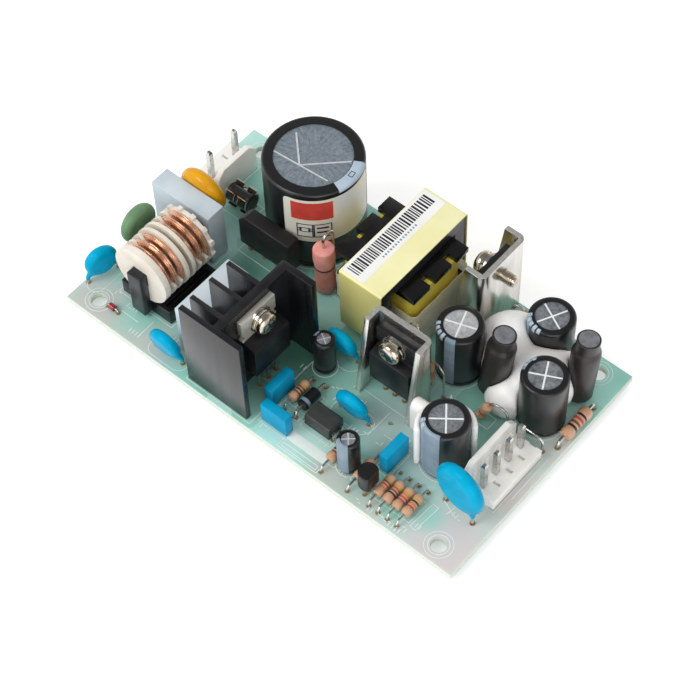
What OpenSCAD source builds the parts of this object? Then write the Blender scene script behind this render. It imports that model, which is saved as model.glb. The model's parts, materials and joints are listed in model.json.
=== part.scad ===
// Open frame AC-DC power supply on a single printed circuit board.
// Units are millimetres. X runs along the board from the mains input end (-X) to the DC output
// end (+X), Y across it, Z up. The origin is the centre of the four mounting holes, on the
// underside of the board.

/* [Printed circuit board] */
// length of the board along X
board_length = 105; // [104.6:0.2:112]
// width of the board along Y
board_width = 60; // [60:0.5:66]
// thickness of the board laminate
board_thickness = 1.6; // [1.2:0.2:2.4]
// radius of a mounting hole, clearance for an M3 screw
mount_hole_r = 1.75; // [1.6:0.05:1.9]
// mounting hole centre to the short edge of the board
mount_inset_x = 6.0; // [5.6:0.1:6.2]
// mounting hole centre to the long edge of the board
mount_inset_y = 3.8; // [3.4:0.1:4.0]
// gap all round between a lead and the hole drilled for it
lead_clearance = 0.12; // [0.08:0.02:0.2]
// length of lead left below the board after trimming
lead_tail = 1.5; // [1.4:0.1:2.4]
// height of a solder cone under the board
solder_height = 0.9; // [0.6:0.1:1.2]

/* [Mains bulk capacitor] */
// outer radius of the sleeve of the mains bulk capacitor
bulk_r = 11; // [10:0.25:11.25]
// height of the mains bulk capacitor above the board
bulk_height = 24.7; // [20:0.5:30]
// thickness of the printed plastic sleeve on every electrolytic capacitor
sleeve_wall = 0.25; // [0.15:0.05:0.4]
// how far the sleeve laps over the shoulder of the can, on top
sleeve_lap = 1.9; // [1.2:0.1:2.4]

/* [Output capacitors] */
// outer radius of an output filter capacitor
out_cap_r = 5.0; // [4.5:0.1:5.1]
// height of an output filter capacitor
out_cap_height = 16; // [14:0.5:20]
// outer radius of a small control capacitor
small_cap_r = 2.4; // [2.2:0.1:2.4]
// height of a small control capacitor
small_cap_height = 10.5; // [9:0.5:12]

/* [Transformer] */
// length of the ferrite core of the transformer along Y
core_length = 27.6; // [27.2:0.2:28.2]
// thickness of the ferrite core along X
core_thick = 10.6; // [10:0.2:11]
// height of the top and bottom bars of the core
core_bar = 3.4; // [3:0.1:3.6]
// thickness of the outer legs of the core along Y
core_leg = 3.6; // [3.2:0.1:4]
// top of the core above the board
core_top = 19.7; // [19:0.1:21]
// underside of the core above the board
core_bottom = 2.0; // [1.8:0.1:2.4]
// radius of the round centre leg
core_centre_r = 3.6; // [3.2:0.1:3.8]
// thickness of the tape wound round the core
tape_thick = 0.25; // [0.2:0.05:0.4]
// thickness of the flanges of the transformer bobbin
bobbin_flange = 1.5; // [1.2:0.1:1.8]

/* [Primary heatsink] */
// height of the black extruded heatsink
sink_height = 25; // [22:0.5:28]
// thickness of the back wall that carries the transistor
sink_base = 2.0; // [1.8:0.1:2.4]
// thickness of a fin
sink_fin = 1.1; // [0.9:0.1:1.3]
// reach of the fins from the back wall
sink_reach = 8.2; // [7.4:0.2:8.4]

/* [Output heatsinks] */
// width of the web of a bent sheet heatsink
channel_width = 14.3; // [14:0.1:14.6]
// height of a bent sheet heatsink
channel_height = 22; // [20.6:0.2:24]
// thickness of the sheet
channel_sheet = 1.2; // [1:0.1:1.4]
// depth of the side wings at the top
channel_wing_top = 4.5; // [4:0.1:5]
// depth of the side wings at the board
channel_wing_foot = 7.9; // [7:0.1:8.2]
// depth of the side wings of the right hand heatsink at the top
right_wing_top = 4.9; // [4.4:0.1:5.4]

/* [Power packages] */
// width of a three lead power package
package_width = 10.2; // [9.8:0.1:10.4]
// height of its moulded body
package_body = 9.2; // [9:0.1:9.6]
// thickness of its moulded body, from the heatsink face
package_thick = 4.5; // [4.3:0.1:4.7]
// thickness of the bare metal tab of the switching transistor
package_tab = 1.3; // [1.2:0.1:1.5]
// thickness of the tab of a fully moulded package
moulded_tab = 2.2; // [2:0.1:2.6]
// length of the tab above the body
package_tab_rise = 6.2; // [6:0.1:6.4]
// radius of the fixing screw shank
screw_r = 1.45; // [1.3:0.05:1.5]
// radius of the fixing screw head
screw_head_r = 2.7; // [2.5:0.1:2.9]
// length of thread that shows behind a sheet heatsink
screw_stick_out = 3.2; // [2.4:0.2:4]
// gap round the screw in the tab
screw_clearance = 0.2; // [0.1:0.05:0.3]

/* [Line choke] */
// outer radius of the flanges of the sectional bobbin
choke_r = 7.2; // [7:0.05:7.35]
// length of the sectional bobbin along Y
choke_length = 15.3; // [14.9:0.1:15.6]
// width of a core leg, square section
choke_leg = 3.8; // [3.6:0.1:4]
// thickness of the core yokes along Y
choke_yoke = 2.1; // [1.9:0.1:2.2]
// outer radius of the wound copper
choke_copper_r = 6.4; // [6.1:0.1:6.6]

/* [Film and disc capacitors] */
// length of the first mains suppression capacitor along X
xcap_length = 16.3; // [15.5:0.1:16.5]
// thickness of both mains suppression capacitors
xcap_thick = 4.9; // [4.5:0.1:5.1]
// height of the first mains suppression capacitor
xcap_height = 15.3; // [14:0.5:17]
// height of the second mains suppression capacitor
xcap2_height = 14; // [12:0.5:15]
// radius of the disc varistor
varistor_r = 5.8; // [5.4:0.1:5.9]
// radius of the inrush thermistor
thermistor_r = 4.7; // [4.3:0.1:4.9]
// radius of a small disc capacitor
disc_r = 3.9; // [3.6:0.1:4]
// thickness of a small disc capacitor
disc_thick = 2.6; // [2.2:0.1:2.8]
// radius of the large disc capacitor at the output
big_disc_r = 6.1; // [5.6:0.1:6.3]

/* [Connectors] */
// pitch of the header contacts
header_pitch = 3.96; // [3.8:0.02:4]
// side of a square header contact
header_pin = 1.14; // [1:0.02:1.2]
// height of the output contacts above the board
header_pin_height = 11; // [9:0.5:12]
// height of the mains contacts above the board
ac_pin_height = 11.5; // [9.5:0.5:12]
// height of the latch wall of a header
header_wall = 8.6; // [7.6:0.2:9.6]
// depth of a header body along X
header_depth = 7.9; // [7.4:0.1:8]

/* [Small parts] */
// body radius of a small resistor
resistor_r = 1.15; // [0.9:0.05:1.15]
// body length of a small resistor
resistor_length = 5.2; // [4.6:0.2:5.6]
// body radius of the upright power resistor
power_res_r = 2.4; // [2.2:0.1:2.5]
// body height of the upright power resistor
power_res_height = 13.8; // [12:0.2:15]

/* [Hidden] */
$fn = 48;
eps = 0.01;
bt = board_thickness;
below = -bt - lead_tail;
hole_x = board_length / 2 - mount_inset_x;
hole_y = board_width / 2 - mount_inset_y;

// ---- places on the board, as [x, y] from its centre ----
ac_at = [-52.4 + header_depth / 2, 16.2];
dc_at = [50 - header_depth / 2, -5.6];
// contacts sit this far from the middle of the header body, towards the open side
ac_pin_shift = -0.35;
dc_pin_shift = 0.05;
ac_pin_x = ac_at[0] + ac_pin_shift;
dc_pin_x = dc_at[0] - dc_pin_shift;
bulk_at = [-23.2, 18];
oc_at = [[23.5, 8.95], [35.3, -10.4], [44.1, 9.95], [36.5, 22.2]];
oc_turn = [215, 215, 120, 150];
sc_at = [[1.9, -8.5], [21.25, -23.6]];
sc_turn = [60, 215];
xcap1_at = [-42.25, -1.3];
xcap2_at = [-21.95, -15.9];
xcap2_length = 16.4;
xcap2_thick = xcap_thick + 0.9;
core_at = [3.45, 15.25];
bob_at = [2.3, 15.9];
bob_x = 21.2;
bob_y = 17.8;
bob_top = core_top - core_bar;
bob_low = core_bottom + core_bar;
choke_at = [-37.2, -13.75];
choke_z = 11.5;
bridge_at = [-24.9, 4.7];
pres_at = [-11.2, 6.8];
fc_base = [[31.9, 9.3], [46.4, 19.2]];
fc_lean = [[-2.7, 4.8], [-3.6, 1.2]];
fc_rod_r = 2.25;
fc_height = [19.4, 18.8];
film_at = [[-0.65, -19.7, 90], [3.75, -25.65, 0], [27.55, -17, 90]];
film_size = [6.8, 2.2, 6.0];
opto_at = [11.25, -19.7];
to92_at = [27.98, -25.5];
to92_rise = 2.9;
mov_at = [-42.4, 4.3];
mov_lean = 8;
mov_rise = 7;
ntc_at = [-47.6, -11.3];
fuse_at = [-39.2, 11.6];

// ---- power packages: [x, y, z of the tab top, turn], back of the tab on the local +Y side ----
sink_face_x = -8;
pk_sw = [sink_face_x, -17.9, 23];
ch1_at = [17.5, -0.9];
ch2_at = [23.1, 23.7];
ch1_turn = 0;
ch2_turn = -90;
ch2_shift = -0.3;
pk_top = 19.8;
hole_drop = 2.8;

// small disc capacitors: [x, y, turn, lean towards the front of the board]
disc_at = [[-50.5, -20.7, 75, 0], [-25.3, -26.8, 0, 12], [2.7, -3.2, 0, 12], [14.3, -13.6, 0, 12]];
disc_leg = 3.75;
disc_cz = 5.0;
disc_rise = 1.0;
big_disc_at = [44.9, -17.75];
big_disc_turn = -7;
big_disc_leg = 3.75;
big_disc_rise = 2.2;
mov_leg = 3.75;
ntc_leg = 2.5;
ntc_rise = 5.6;
// a lead is let this far into the coating of its part
socket = 0.3;
// the two leads of a two lead part: place, turn, half pitch, radius, top above the board
function pair(p, a, leg, r, top) = [for (s = [-1, 1])
    [p[0] + s * leg * cos(a), p[1] + s * leg * sin(a), r, top]];

// ---- leads that drop straight through the board: [x, y, radius, top above the board] ----
leads_disc = [for (d = disc_at) for (l = pair(d, d[2], disc_leg, 0.3, disc_rise + socket)) l];
leads_big = pair(big_disc_at, big_disc_turn, big_disc_leg, 0.35, big_disc_rise + socket);
leads_mov = pair(mov_at, 0, mov_leg, 0.4, mov_rise + socket);
leads_ntc = pair(ntc_at, 90, ntc_leg, 0.4, ntc_rise + socket);
leads_fuse = [for (s = [-1, 1]) [fuse_at[0] + s * 2.54, fuse_at[1], 0.35, 0.8]];
leads_x1 = [for (s = [-1, 1]) [xcap1_at[0] + s * 7.1, xcap1_at[1], 0.4, 0.5]];
leads_x2 = [for (s = [-1, 1]) [xcap2_at[0], xcap2_at[1] + s * 7.1, 0.4, 0.5]];
leads_choke = [for (s = [-1, 1]) for (t = [-1, 1]) [choke_at[0] + s * 6, choke_at[1] + t * 5.2, 0.4, 0]];
leads_bridge = [for (k = [-1.5, -0.5, 0.5, 1.5]) [bridge_at[0] + k * 3.8, bridge_at[1], 0.4, 3]];
leads_bulk = [for (s = [-1, 1]) [bulk_at[0] + s * 5, bulk_at[1], 0.6, 0]];
leads_oc = [for (p = oc_at) for (s = [-1, 1]) [p[0] + s * 2.5, p[1], 0.3, 0]];
leads_sc = [for (p = sc_at) for (s = [-1, 1]) [p[0] + s * 1, p[1], 0.25, 0]];
leads_sw = [for (k = [-1, 0, 1]) [sink_face_x + 2.4, pk_sw[1] + k * 2.54, 0.38,
    pk_sw[2] - package_tab_rise - package_body]];
leads_r1 = [for (k = [-1, 0, 1])
    [ch1_at[0] + k * 2.54, ch1_at[1] - channel_sheet - 2.4, 0.38,
        pk_top - package_tab_rise - package_body]];
leads_r2 = [for (k = [-1, 0, 1])
    [ch2_at[0] - channel_sheet - 2.4, ch2_at[1] + ch2_shift + k * 2.54, 0.38,
        pk_top - package_tab_rise - package_body]];
leads_sink = [for (y = [-24.6, -9.4]) [sink_face_x - sink_base / 2, y, 0.8, 0]];
leads_trafo = [for (s = [-1, 1]) for (k = [-1.5, -0.5, 0.5, 1.5]) [bob_at[0] + s * (bob_x / 2 - 1.3),
    bob_at[1] + k * 5, 0.4, 0.8]];
leads_fc = [for (p = fc_base) for (s = [-1, 1]) [p[0] + s * 1.5, p[1], 0.35, 1.8]];
leads_film = [for (f = film_at) for (s = [-1, 1]) [f[0] + s * 2.5 * cos(f[2]),
    f[1] + s * 2.5 * sin(f[2]), 0.25, 0.3]];
leads_to92 = [for (k = [-1, 0, 1]) [to92_at[0], to92_at[1] + k * 1.27, 0.22, to92_rise]];
straight_leads = concat(leads_disc, leads_big, leads_mov, leads_ntc, leads_fuse, leads_x1, leads_x2,
    leads_choke, leads_bridge, leads_bulk, leads_oc, leads_sc, leads_sw, leads_r1, leads_r2,
    leads_trafo, leads_fc, leads_film, leads_to92);

// ---- parts lying on the board with leads bent down at both ends: [x, y of body middle, hole y
// at either end] ----
flat_res = [[2.3, -17.2, -21.9, -12.6], [30.3, -23.3, -28.3, -18.4], [32.7, -23.3, -28.3, -18.4],
    [35.1, -23.3, -28.3, -18.4], [37.5, -23.3, -28.3, -18.4], [17.8, -23.2, -28.4, -18.0],
    [24.8, -23.0, -28.4, -17.8]];
res_z = 1.55;
edge_res = [50.95, 12.5, 6.4, 18.6];
edge_res_r = 1.5;
edge_res_length = 8;
edge_z = 1.9;
diode_at = [5.3, -17.4, -21.9, -12.4];
diode_r = 1.35;
diode_length = 4.8;
diode_z = 1.7;
// ---- parts standing on one lead, the other looping over to its own hole: [x, y, hole x, hole y,
// lean towards that hole, foot of the body above the board] ----
upright_res = [[21.3, 1.9, 25.6, 1.2, 0, 1.8], [34.2, 2.2, 40.6, 2.9, 22, 0.8],
    [27.6, 25.0, 25.4, 24.2, 0, 0.8]];
upright_stub = 0.6;
pres_foot = 0.5;
pres_stub = 2;
pres_hole = [pres_at[0], pres_at[1] + power_res_r + 0.55];
// ---- bare wire links: [x, y, loop x, loop y, height] ----
links = [[42.6, 3.7, 49.1, 3.7, 4.4]];
bead_at = [-42.4, -26.2];

bent_holes = concat(
    [for (r = flat_res) for (k = [2, 3]) [r[0], r[k], 0.25]],
    [for (k = [2, 3]) [edge_res[0], edge_res[k], 0.35]],
    [for (k = [2, 3]) [diode_at[0], diode_at[k], 0.35]],
    [for (u = upright_res) for (k = [0, 2]) [u[k], u[k + 1], 0.25]],
    [for (p = [pres_at, pres_hole]) [p[0], p[1], 0.35]],
    [for (l = links) for (k = [0, 2]) [l[k], l[k + 1], 0.3]],
    [for (s = [-1, 1]) [bead_at[0] + s * 1.5, bead_at[1], 0.25]]);
all_round = concat([for (l = concat(straight_leads, leads_sink)) [l[0], l[1], l[2]]], bent_holes);
square_pins = concat([for (s = [-1, 1]) [ac_pin_x, ac_at[1] + s * header_pitch, ac_pin_height]],
    [for (k = [-1.5, -0.5, 0.5, 1.5]) [dc_pin_x, dc_at[1] + k * header_pitch, header_pin_height]]);
opto_pins = [for (s = [-1, 1]) for (t = [-1, 1]) [opto_at[0] + s * 3.81, opto_at[1] + t * 1.27]];
opto_lead = [0.25, 0.8];
foot = [2.6, channel_sheet];
function turned(p, a, d) = [p[0] + d[0] * cos(a) - d[1] * sin(a), p[1] + d[0] * sin(a) + d[1] * cos(a)];
feet = concat([for (s = [-1, 1]) concat(turned(ch1_at, ch1_turn, [s * 4.3, -channel_sheet / 2]),
    [ch1_turn])],
    [for (s = [-1, 1]) concat(turned(ch2_at, ch2_turn, [s * 4.3, -channel_sheet / 2]), [ch2_turn])]);

// ---------------- helpers ----------------
module on_board() { translate([0, 0, bt]) children(); }
module tube(ro, ri, h) {
    difference() {
        cylinder(r = ro, h = h);
        translate([0, 0, -1]) cylinder(r = ri, h = h + 2);
    }
}
module box(x0, x1, y0, y1, z0, z1) { translate([x0, y0, z0]) cube([x1 - x0, y1 - y0, z1 - z0]); }
module place(p, a) { translate([p[0], p[1], 0]) rotate([0, 0, a]) children(); }

// ---------------- board ----------------
module circuit_board() {
    color([0.56, 0.80, 0.74]) difference() {
        translate([-board_length / 2, -board_width / 2, 0]) cube([board_length, board_width, bt]);
        for (sx = [-1, 1]) for (sy = [-1, 1])
            translate([sx * hole_x, sy * hole_y, -1]) cylinder(r = mount_hole_r, h = bt + 2);
        for (l = all_round) translate([l[0], l[1], -1]) cylinder(r = l[2] + lead_clearance,
            h = bt + 2, $fn = 24);
        for (p = square_pins) translate([p[0], p[1], -1])
            cylinder(r = header_pin * 0.7072 + lead_clearance, h = bt + 2, $fn = 24);
        for (p = opto_pins) translate([p[0], p[1], -1]) cylinder(r = 0.42 + lead_clearance,
            h = bt + 2, $fn = 24);
        for (f = feet) place(f, f[2])
            translate([-foot[0] / 2 - lead_clearance, -foot[1] / 2 - lead_clearance, -1])
            cube([foot[0] + 2 * lead_clearance, foot[1] + 2 * lead_clearance, bt + 2]);
        // fixed vent hole between the optocoupler and the output side
        translate([21.3, -10.5, -1]) cylinder(r = 0.6, h = bt + 2, $fn = 24);
    }
}
module solder_joints() {
    color([0.78, 0.79, 0.80]) {
        for (l = all_round) translate([l[0], l[1], -solder_height]) difference() {
            cylinder(r1 = l[2] + 0.08, r2 = l[2] * 2, h = solder_height, $fn = 24);
            translate([0, 0, -1]) cylinder(r = l[2], h = solder_height + 2, $fn = 24);
        }
        for (p = square_pins) translate([p[0], p[1], -solder_height]) difference() {
            cylinder(r1 = header_pin * 0.8, r2 = 1.6, h = solder_height, $fn = 24);
            translate([-header_pin / 2, -header_pin / 2, -1])
                cube([header_pin, header_pin, solder_height + 2]);
        }
        for (p = opto_pins) translate([p[0], p[1], -solder_height]) difference() {
            cylinder(r1 = 0.5, r2 = 0.8, h = solder_height, $fn = 24);
            translate([-opto_lead[0] / 2, -opto_lead[1] / 2, -1])
                cube([opto_lead[0], opto_lead[1], solder_height + 2]);
        }
        for (f = feet) place(f, f[2]) translate([0, 0, -solder_height]) difference() {
            cylinder(r1 = 1.6, r2 = 2.1, h = solder_height, $fn = 24);
            translate([-foot[0] / 2, -foot[1] / 2, -1]) cube([foot[0], foot[1], solder_height + 2]);
        }
    }
}

// ---------------- leads ----------------
// lead of a part lying along Y: from its hole up, round the bend and level to the end face of the body
module lying_lead(x, hole_y0, face_y, z, r) {
    s = face_y > hole_y0 ? 1 : -1;
    br = 0.9;
    translate([x, hole_y0, 0]) rotate([0, 0, s > 0 ? 0 : 180]) {
        translate([0, 0, below]) cylinder(r = r, h = z - br - below, $fn = 24);
        translate([0, 0, z - br]) bend_up(r, br);
        translate([0, br, z]) rotate([-90, 0, 0]) cylinder(r = r, h = abs(face_y - hole_y0) - br,
            $fn = 24);
    }
}
// from vertical at the origin to level along +Y at height br
module bend_up(r, br) {
    translate([0, br, 0]) rotate([0, 90, 0]) rotate([0, 0, 180]) rotate_extrude(angle = 90, $fn = 24)
        translate([br, 0]) circle(r = r, $fn = 24);
}
module component_leads() {
    color([0.80, 0.80, 0.80]) on_board() {
        for (l = straight_leads) translate([l[0], l[1], below])
            cylinder(r = l[2], h = l[3] - below, $fn = 24);
        for (f = flat_res) {
            lying_lead(f[0], f[2], f[1] - resistor_length / 2, res_z, 0.25);
            lying_lead(f[0], f[3], f[1] + resistor_length / 2, res_z, 0.25);
        }
        lying_lead(edge_res[0], edge_res[2], edge_res[1] - edge_res_length / 2, edge_z, 0.35);
        lying_lead(edge_res[0], edge_res[3], edge_res[1] + edge_res_length / 2, edge_z, 0.35);
        lying_lead(diode_at[0], diode_at[2], diode_at[1] - diode_length / 2, diode_z, 0.35);
        lying_lead(diode_at[0], diode_at[3], diode_at[1] + diode_length / 2, diode_z, 0.35);
        for (u = upright_res) {
            translate([u[0], u[1], below])
                cylinder(r = 0.25, h = u[5] + (u[4] > 0 ? socket : 0) - below, $fn = 24);
            loop_over([u[0], u[1]], [u[2], u[3]], u[5], resistor_length, upright_stub, u[4], 0.25);
        }
        translate([pres_at[0], pres_at[1], below])
            cylinder(r = 0.35, h = pres_foot - below, $fn = 24);
        loop_over(pres_at, pres_hole, pres_foot, power_res_height, pres_stub, 0, 0.35);
        for (s = [-1, 1]) translate([bead_at[0], bead_at[1], 0]) rotate([0, 0, s > 0 ? 0 : 180])
            translate([1.5, 0, 0]) rotate([0, 0, 90]) {
                translate([0, 0, below]) cylinder(r = 0.25, h = 0.5 - below, $fn = 24);
                translate([0, 0, 0.5]) bend_up(0.25, 0.5);
                translate([0, 0.5, 1.0]) rotate([-90, 0, 0]) cylinder(r = 0.25, h = 0.3, $fn = 24);
            }
        for (a = [0, 180]) for (t = [-1, 1]) translate([opto_at[0], opto_at[1] + t * 1.27, 0])
            rotate([0, 0, a]) {
            box(3.81 - opto_lead[0] / 2, 3.81 + opto_lead[0] / 2, -0.4, 0.4, below, 2.2);
            box(3.25, 3.81 - opto_lead[0] / 2 + eps, -0.4, 0.4, 1.95, 2.2);
        }
    }
}
// wire leaving the top of a part standing at p, looping over and down to its own hole at q; the part
// is l long, leans by a towards q, and the wire runs on straight for stub before it bends
module loop_over(p, q, foot_z, l, stub, a, r) {
    d = norm(q - p);
    x = (l + stub) * sin(a);
    z = foot_z + (l + stub) * cos(a);
    bend = (d - x) / (1 + cos(a));
    translate([p[0], p[1], 0]) rotate([0, 0, atan2(q[1] - p[1], q[0] - p[0])]) {
        translate([0, 0, foot_z]) rotate([0, a, 0]) translate([0, 0, l])
            cylinder(r = r, h = stub, $fn = 24);
        translate([d - bend, 0, z - bend * sin(a)]) rotate([90, 0, 0])
            rotate_extrude(angle = 180 - a, $fn = 24) translate([bend, 0]) circle(r = r, $fn = 24);
        translate([d, 0, below]) cylinder(r = r, h = z - bend * sin(a) - below, $fn = 24);
    }
}
module wire_links() {
    color([0.85, 0.85, 0.83]) on_board() for (l = links) translate([l[0], l[1], 0]) {
        translate([0, 0, below]) cylinder(r = 0.3, h = l[4] - 1.5 - below, $fn = 24);
        translate([l[2] - l[0], 0, below]) cylinder(r = 0.3, h = l[4] - 1.5 - below, $fn = 24);
        translate([0, 0, l[4] - 1.5]) rotate([0, 0, -90]) bend_up(0.3, 1.5);
        translate([l[2] - l[0], 0, l[4] - 1.5]) rotate([0, 0, 90]) bend_up(0.3, 1.5);
        translate([1.5, 0, l[4]]) rotate([0, 90, 0]) cylinder(r = 0.3, h = l[2] - l[0] - 3, $fn = 24);
    }
}

// ---------------- connectors ----------------
// body of a friction lock header, latch wall on the -X side, contacts through square holes
module header_body(length, places, pin_x) {
    half = header_depth / 2;
    top = 3.2;
    wall = 1.3;
    difference() {
        union() {
            box(-half, half, -length / 2, length / 2, 0, top);
            box(-half, -half + wall, -length / 2, length / 2, top - eps, header_wall - 1.9);
            translate([-half, 0, 0]) rotate([90, 0, 90]) linear_extrude(height = wall)
                polygon([[-length / 2, header_wall - 1.95], [length / 2, header_wall - 1.95],
                    [length / 2 - 1.9, header_wall], [-length / 2 + 1.9, header_wall]]);
            for (y = places) translate([0, y, 0])
                box(-half + wall - eps, -half + wall + 0.5, -0.5, 0.5, top - eps, header_wall - 2.4);
        }
        for (y = places) {
            translate([pin_x, y, 0]) box(-header_pin / 2, header_pin / 2, -header_pin / 2,
                header_pin / 2, -1, top + 1);
            translate([0, y + header_pitch / 2, 0])
                box(0.85, 2.55, -0.35, 0.35, top - 1.2, top + 1);
        }
        box(half - 1.2, half + 1, -length / 2 - 1, length / 2 + 1, -1, 0.5);
    }
}
module ac_header_housing() {
    color([0.93, 0.92, 0.86]) on_board() place(ac_at, 180)
        header_body(header_pitch * 3.0, [-header_pitch, header_pitch], -ac_pin_shift);
}
module dc_header_housing() {
    color([0.94, 0.93, 0.88]) on_board() place(dc_at, 0)
        header_body(header_pitch * 3.95, [for (k = [-1.5, -0.5, 0.5, 1.5]) k * header_pitch],
            -dc_pin_shift);
}
module header_pins() {
    color([0.82, 0.83, 0.84]) on_board() for (p = square_pins) translate([p[0], p[1], 0]) {
        box(-header_pin / 2, header_pin / 2, -header_pin / 2, header_pin / 2, below, p[2] - 0.5);
        translate([0, 0, p[2] - 0.5]) rotate([0, 0, 45])
            cylinder(r1 = header_pin * 0.7071, r2 = header_pin * 0.42, h = 0.5, $fn = 4);
    }
}

// ---------------- mains input parts ----------------
fuse_r = 2.1;
fuse_half = 3.1;
fuse_z = 4.3;
module fuse_body() {
    color([0.16, 0.15, 0.15]) on_board() place(fuse_at, 0)
        translate([-fuse_half, 0, fuse_z]) rotate([0, 90, 0]) cylinder(r = fuse_r, h = 2 * fuse_half);
}
module fuse_clips() {
    color([0.60, 0.58, 0.55]) on_board() place(fuse_at, 0) for (s = [-1, 1]) translate([s * 2.45, 0, 0])
        difference() {
            box(-0.55, 0.55, -2.35, 2.35, 0.8, 6.7);
            translate([-2, 0, fuse_z]) rotate([0, 90, 0]) cylinder(r = fuse_r, h = 4);
            box(-1, 1, -1.2, 1.2, fuse_z, 8);
        }
}
// round rod, or slim cone, from point a to point b
module rod_between(a, b, ra, rb) {
    v = b - a;
    l = norm(v);
    translate(a) rotate([0, acos(v[2] / l), atan2(v[1], v[0])])
        cylinder(r1 = ra, r2 = rb, h = l, $fn = 24);
}
// coated disc standing on edge in the local XZ plane: round rim, centre at height cz, the coating
// running down over each lead to height stub_z, the whole leaning by a about that height
module coated_disc(r, t, cz, leg, stub_z, stub_r, a) {
    translate([0, 0, stub_z]) rotate([a, 0, 0]) translate([0, 0, -stub_z]) {
        translate([0, t / 2, cz]) rotate([90, 0, 0]) rotate_extrude() union() {
            square([r - t / 2, t]);
            translate([r - t / 2, 0]) intersection() {
                translate([0, t / 2]) circle(r = t / 2);
                square([t, t]);
            }
        }
        for (s = [-1, 1]) {
            knee = [s * leg, 0, stub_z + 0.8];
            translate([s * leg, 0, stub_z]) cylinder(r = stub_r, h = 0.8, $fn = 24);
            translate(knee) sphere(r = stub_r);
            rod_between(knee, ([0, 0, cz] + knee) / 2, stub_r, t / 2 - 0.1);
        }
    }
}
// the same with the ends of its leads taken out
module leaded_disc(p, turn, r, t, cz, leg, stub_z, stub_r, lean, lead_r) {
    difference() {
        place(p, turn) coated_disc(r, t, cz, leg, stub_z, stub_r, lean);
        for (l = pair(p, turn, leg, lead_r, 0)) translate([l[0], l[1], stub_z - 1])
            cylinder(r = lead_r, h = 1 + socket, $fn = 24);
    }
}
module varistor() {
    color([0.85, 0.55, 0.08]) on_board()
        leaded_disc(mov_at, 0, varistor_r, 3.6, 12.1, mov_leg, mov_rise, 0.7, mov_lean, 0.4);
}
module inrush_thermistor() {
    color([0.33, 0.42, 0.30]) on_board()
        leaded_disc(ntc_at, 90, thermistor_r, 3.0, 11, ntc_leg, ntc_rise, 0.65, 0, 0.4);
}
module y_capacitors() {
    color([0.05, 0.55, 0.75]) on_board() for (d = disc_at)
        leaded_disc(d, d[2], disc_r, disc_thick, disc_cz, disc_leg, disc_rise, 0.5, d[3], 0.3);
}
module y_capacitor_output() {
    color([0.02, 0.60, 0.82]) on_board() leaded_disc(big_disc_at, big_disc_turn, big_disc_r, 3.0, 9,
        big_disc_leg, big_disc_rise, 0.6, 0, 0.35);
}
module box_capacitor(l, t, h) {
    box(-l / 2, l / 2, -t / 2, t / 2, 0.5, h);
    for (sx = [-1, 1]) for (sy = [-1, 1])
        translate([sx * (l / 2 - 0.6), sy * (t / 2 - 0.6), 0]) box(-0.6, 0.6, -0.6, 0.6, 0, 0.5 + eps);
}
module x_capacitor_input() {
    color([0.72, 0.78, 0.80]) on_board() place(xcap1_at, 0) box_capacitor(xcap_length, xcap_thick,
        xcap_height);
}
module x_capacitor_filter() {
    color([0.72, 0.78, 0.80]) on_board() place(xcap2_at, 90) box_capacitor(xcap2_length, xcap2_thick,
        xcap2_height);
}
module bridge_rectifier() {
    color([0.15, 0.15, 0.16]) on_board() translate([bridge_at[0], bridge_at[1] + 1.7, 0])
        rotate([90, 0, 0])
        linear_extrude(height = 3.4)
        polygon([[-7.1, 3], [7.1, 3], [7.1, 12.4], [-5.4, 12.4], [-7.1, 10.7]]);
}
module power_resistor() {
    color([0.88, 0.52, 0.48]) on_board() translate([pres_at[0], pres_at[1], pres_foot])
        rotate_extrude()
        union() {
        square([power_res_r - 0.5, power_res_height]);
        translate([0, 0.5]) square([power_res_r, power_res_height - 1]);
        for (z = [0.5, power_res_height - 0.5]) translate([power_res_r - 0.5, z]) circle(r = 0.5);
    }
}

// ---------------- line choke ----------------
choke_low = 0.9;
choke_window = choke_z - choke_r - 0.15;
choke_w = (choke_length - 8) / 6;
choke_f = [0, 1.5 + choke_w, 2.2 + 2 * choke_w, 2.9 + 3 * choke_w, 4.8 + 3 * choke_w, 5.6 + 4 * choke_w,
    6.3 + 5 * choke_w, 7 + 6 * choke_w];
choke_t = [1.5, 0.7, 0.7, 0.8, 0.8, 0.7, 0.7, 1.0];
choke_tube_r = choke_leg * 0.7071 + 0.62;
module on_choke_axis() {
    on_board() translate([choke_at[0], choke_at[1] - choke_length / 2, choke_z]) rotate([-90, 0, 0])
        children();
}
module choke_core() {
    y = choke_length / 2 + choke_yoke;
    h = choke_leg / 2;
    color([0.20, 0.20, 0.21]) on_board() translate([choke_at[0], choke_at[1], 0]) difference() {
        box(-h, h, -y, y, choke_low, choke_z + h);
        box(-h - 1, h + 1, -choke_length / 2, choke_length / 2, choke_window, choke_z - h);
    }
}
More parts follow.
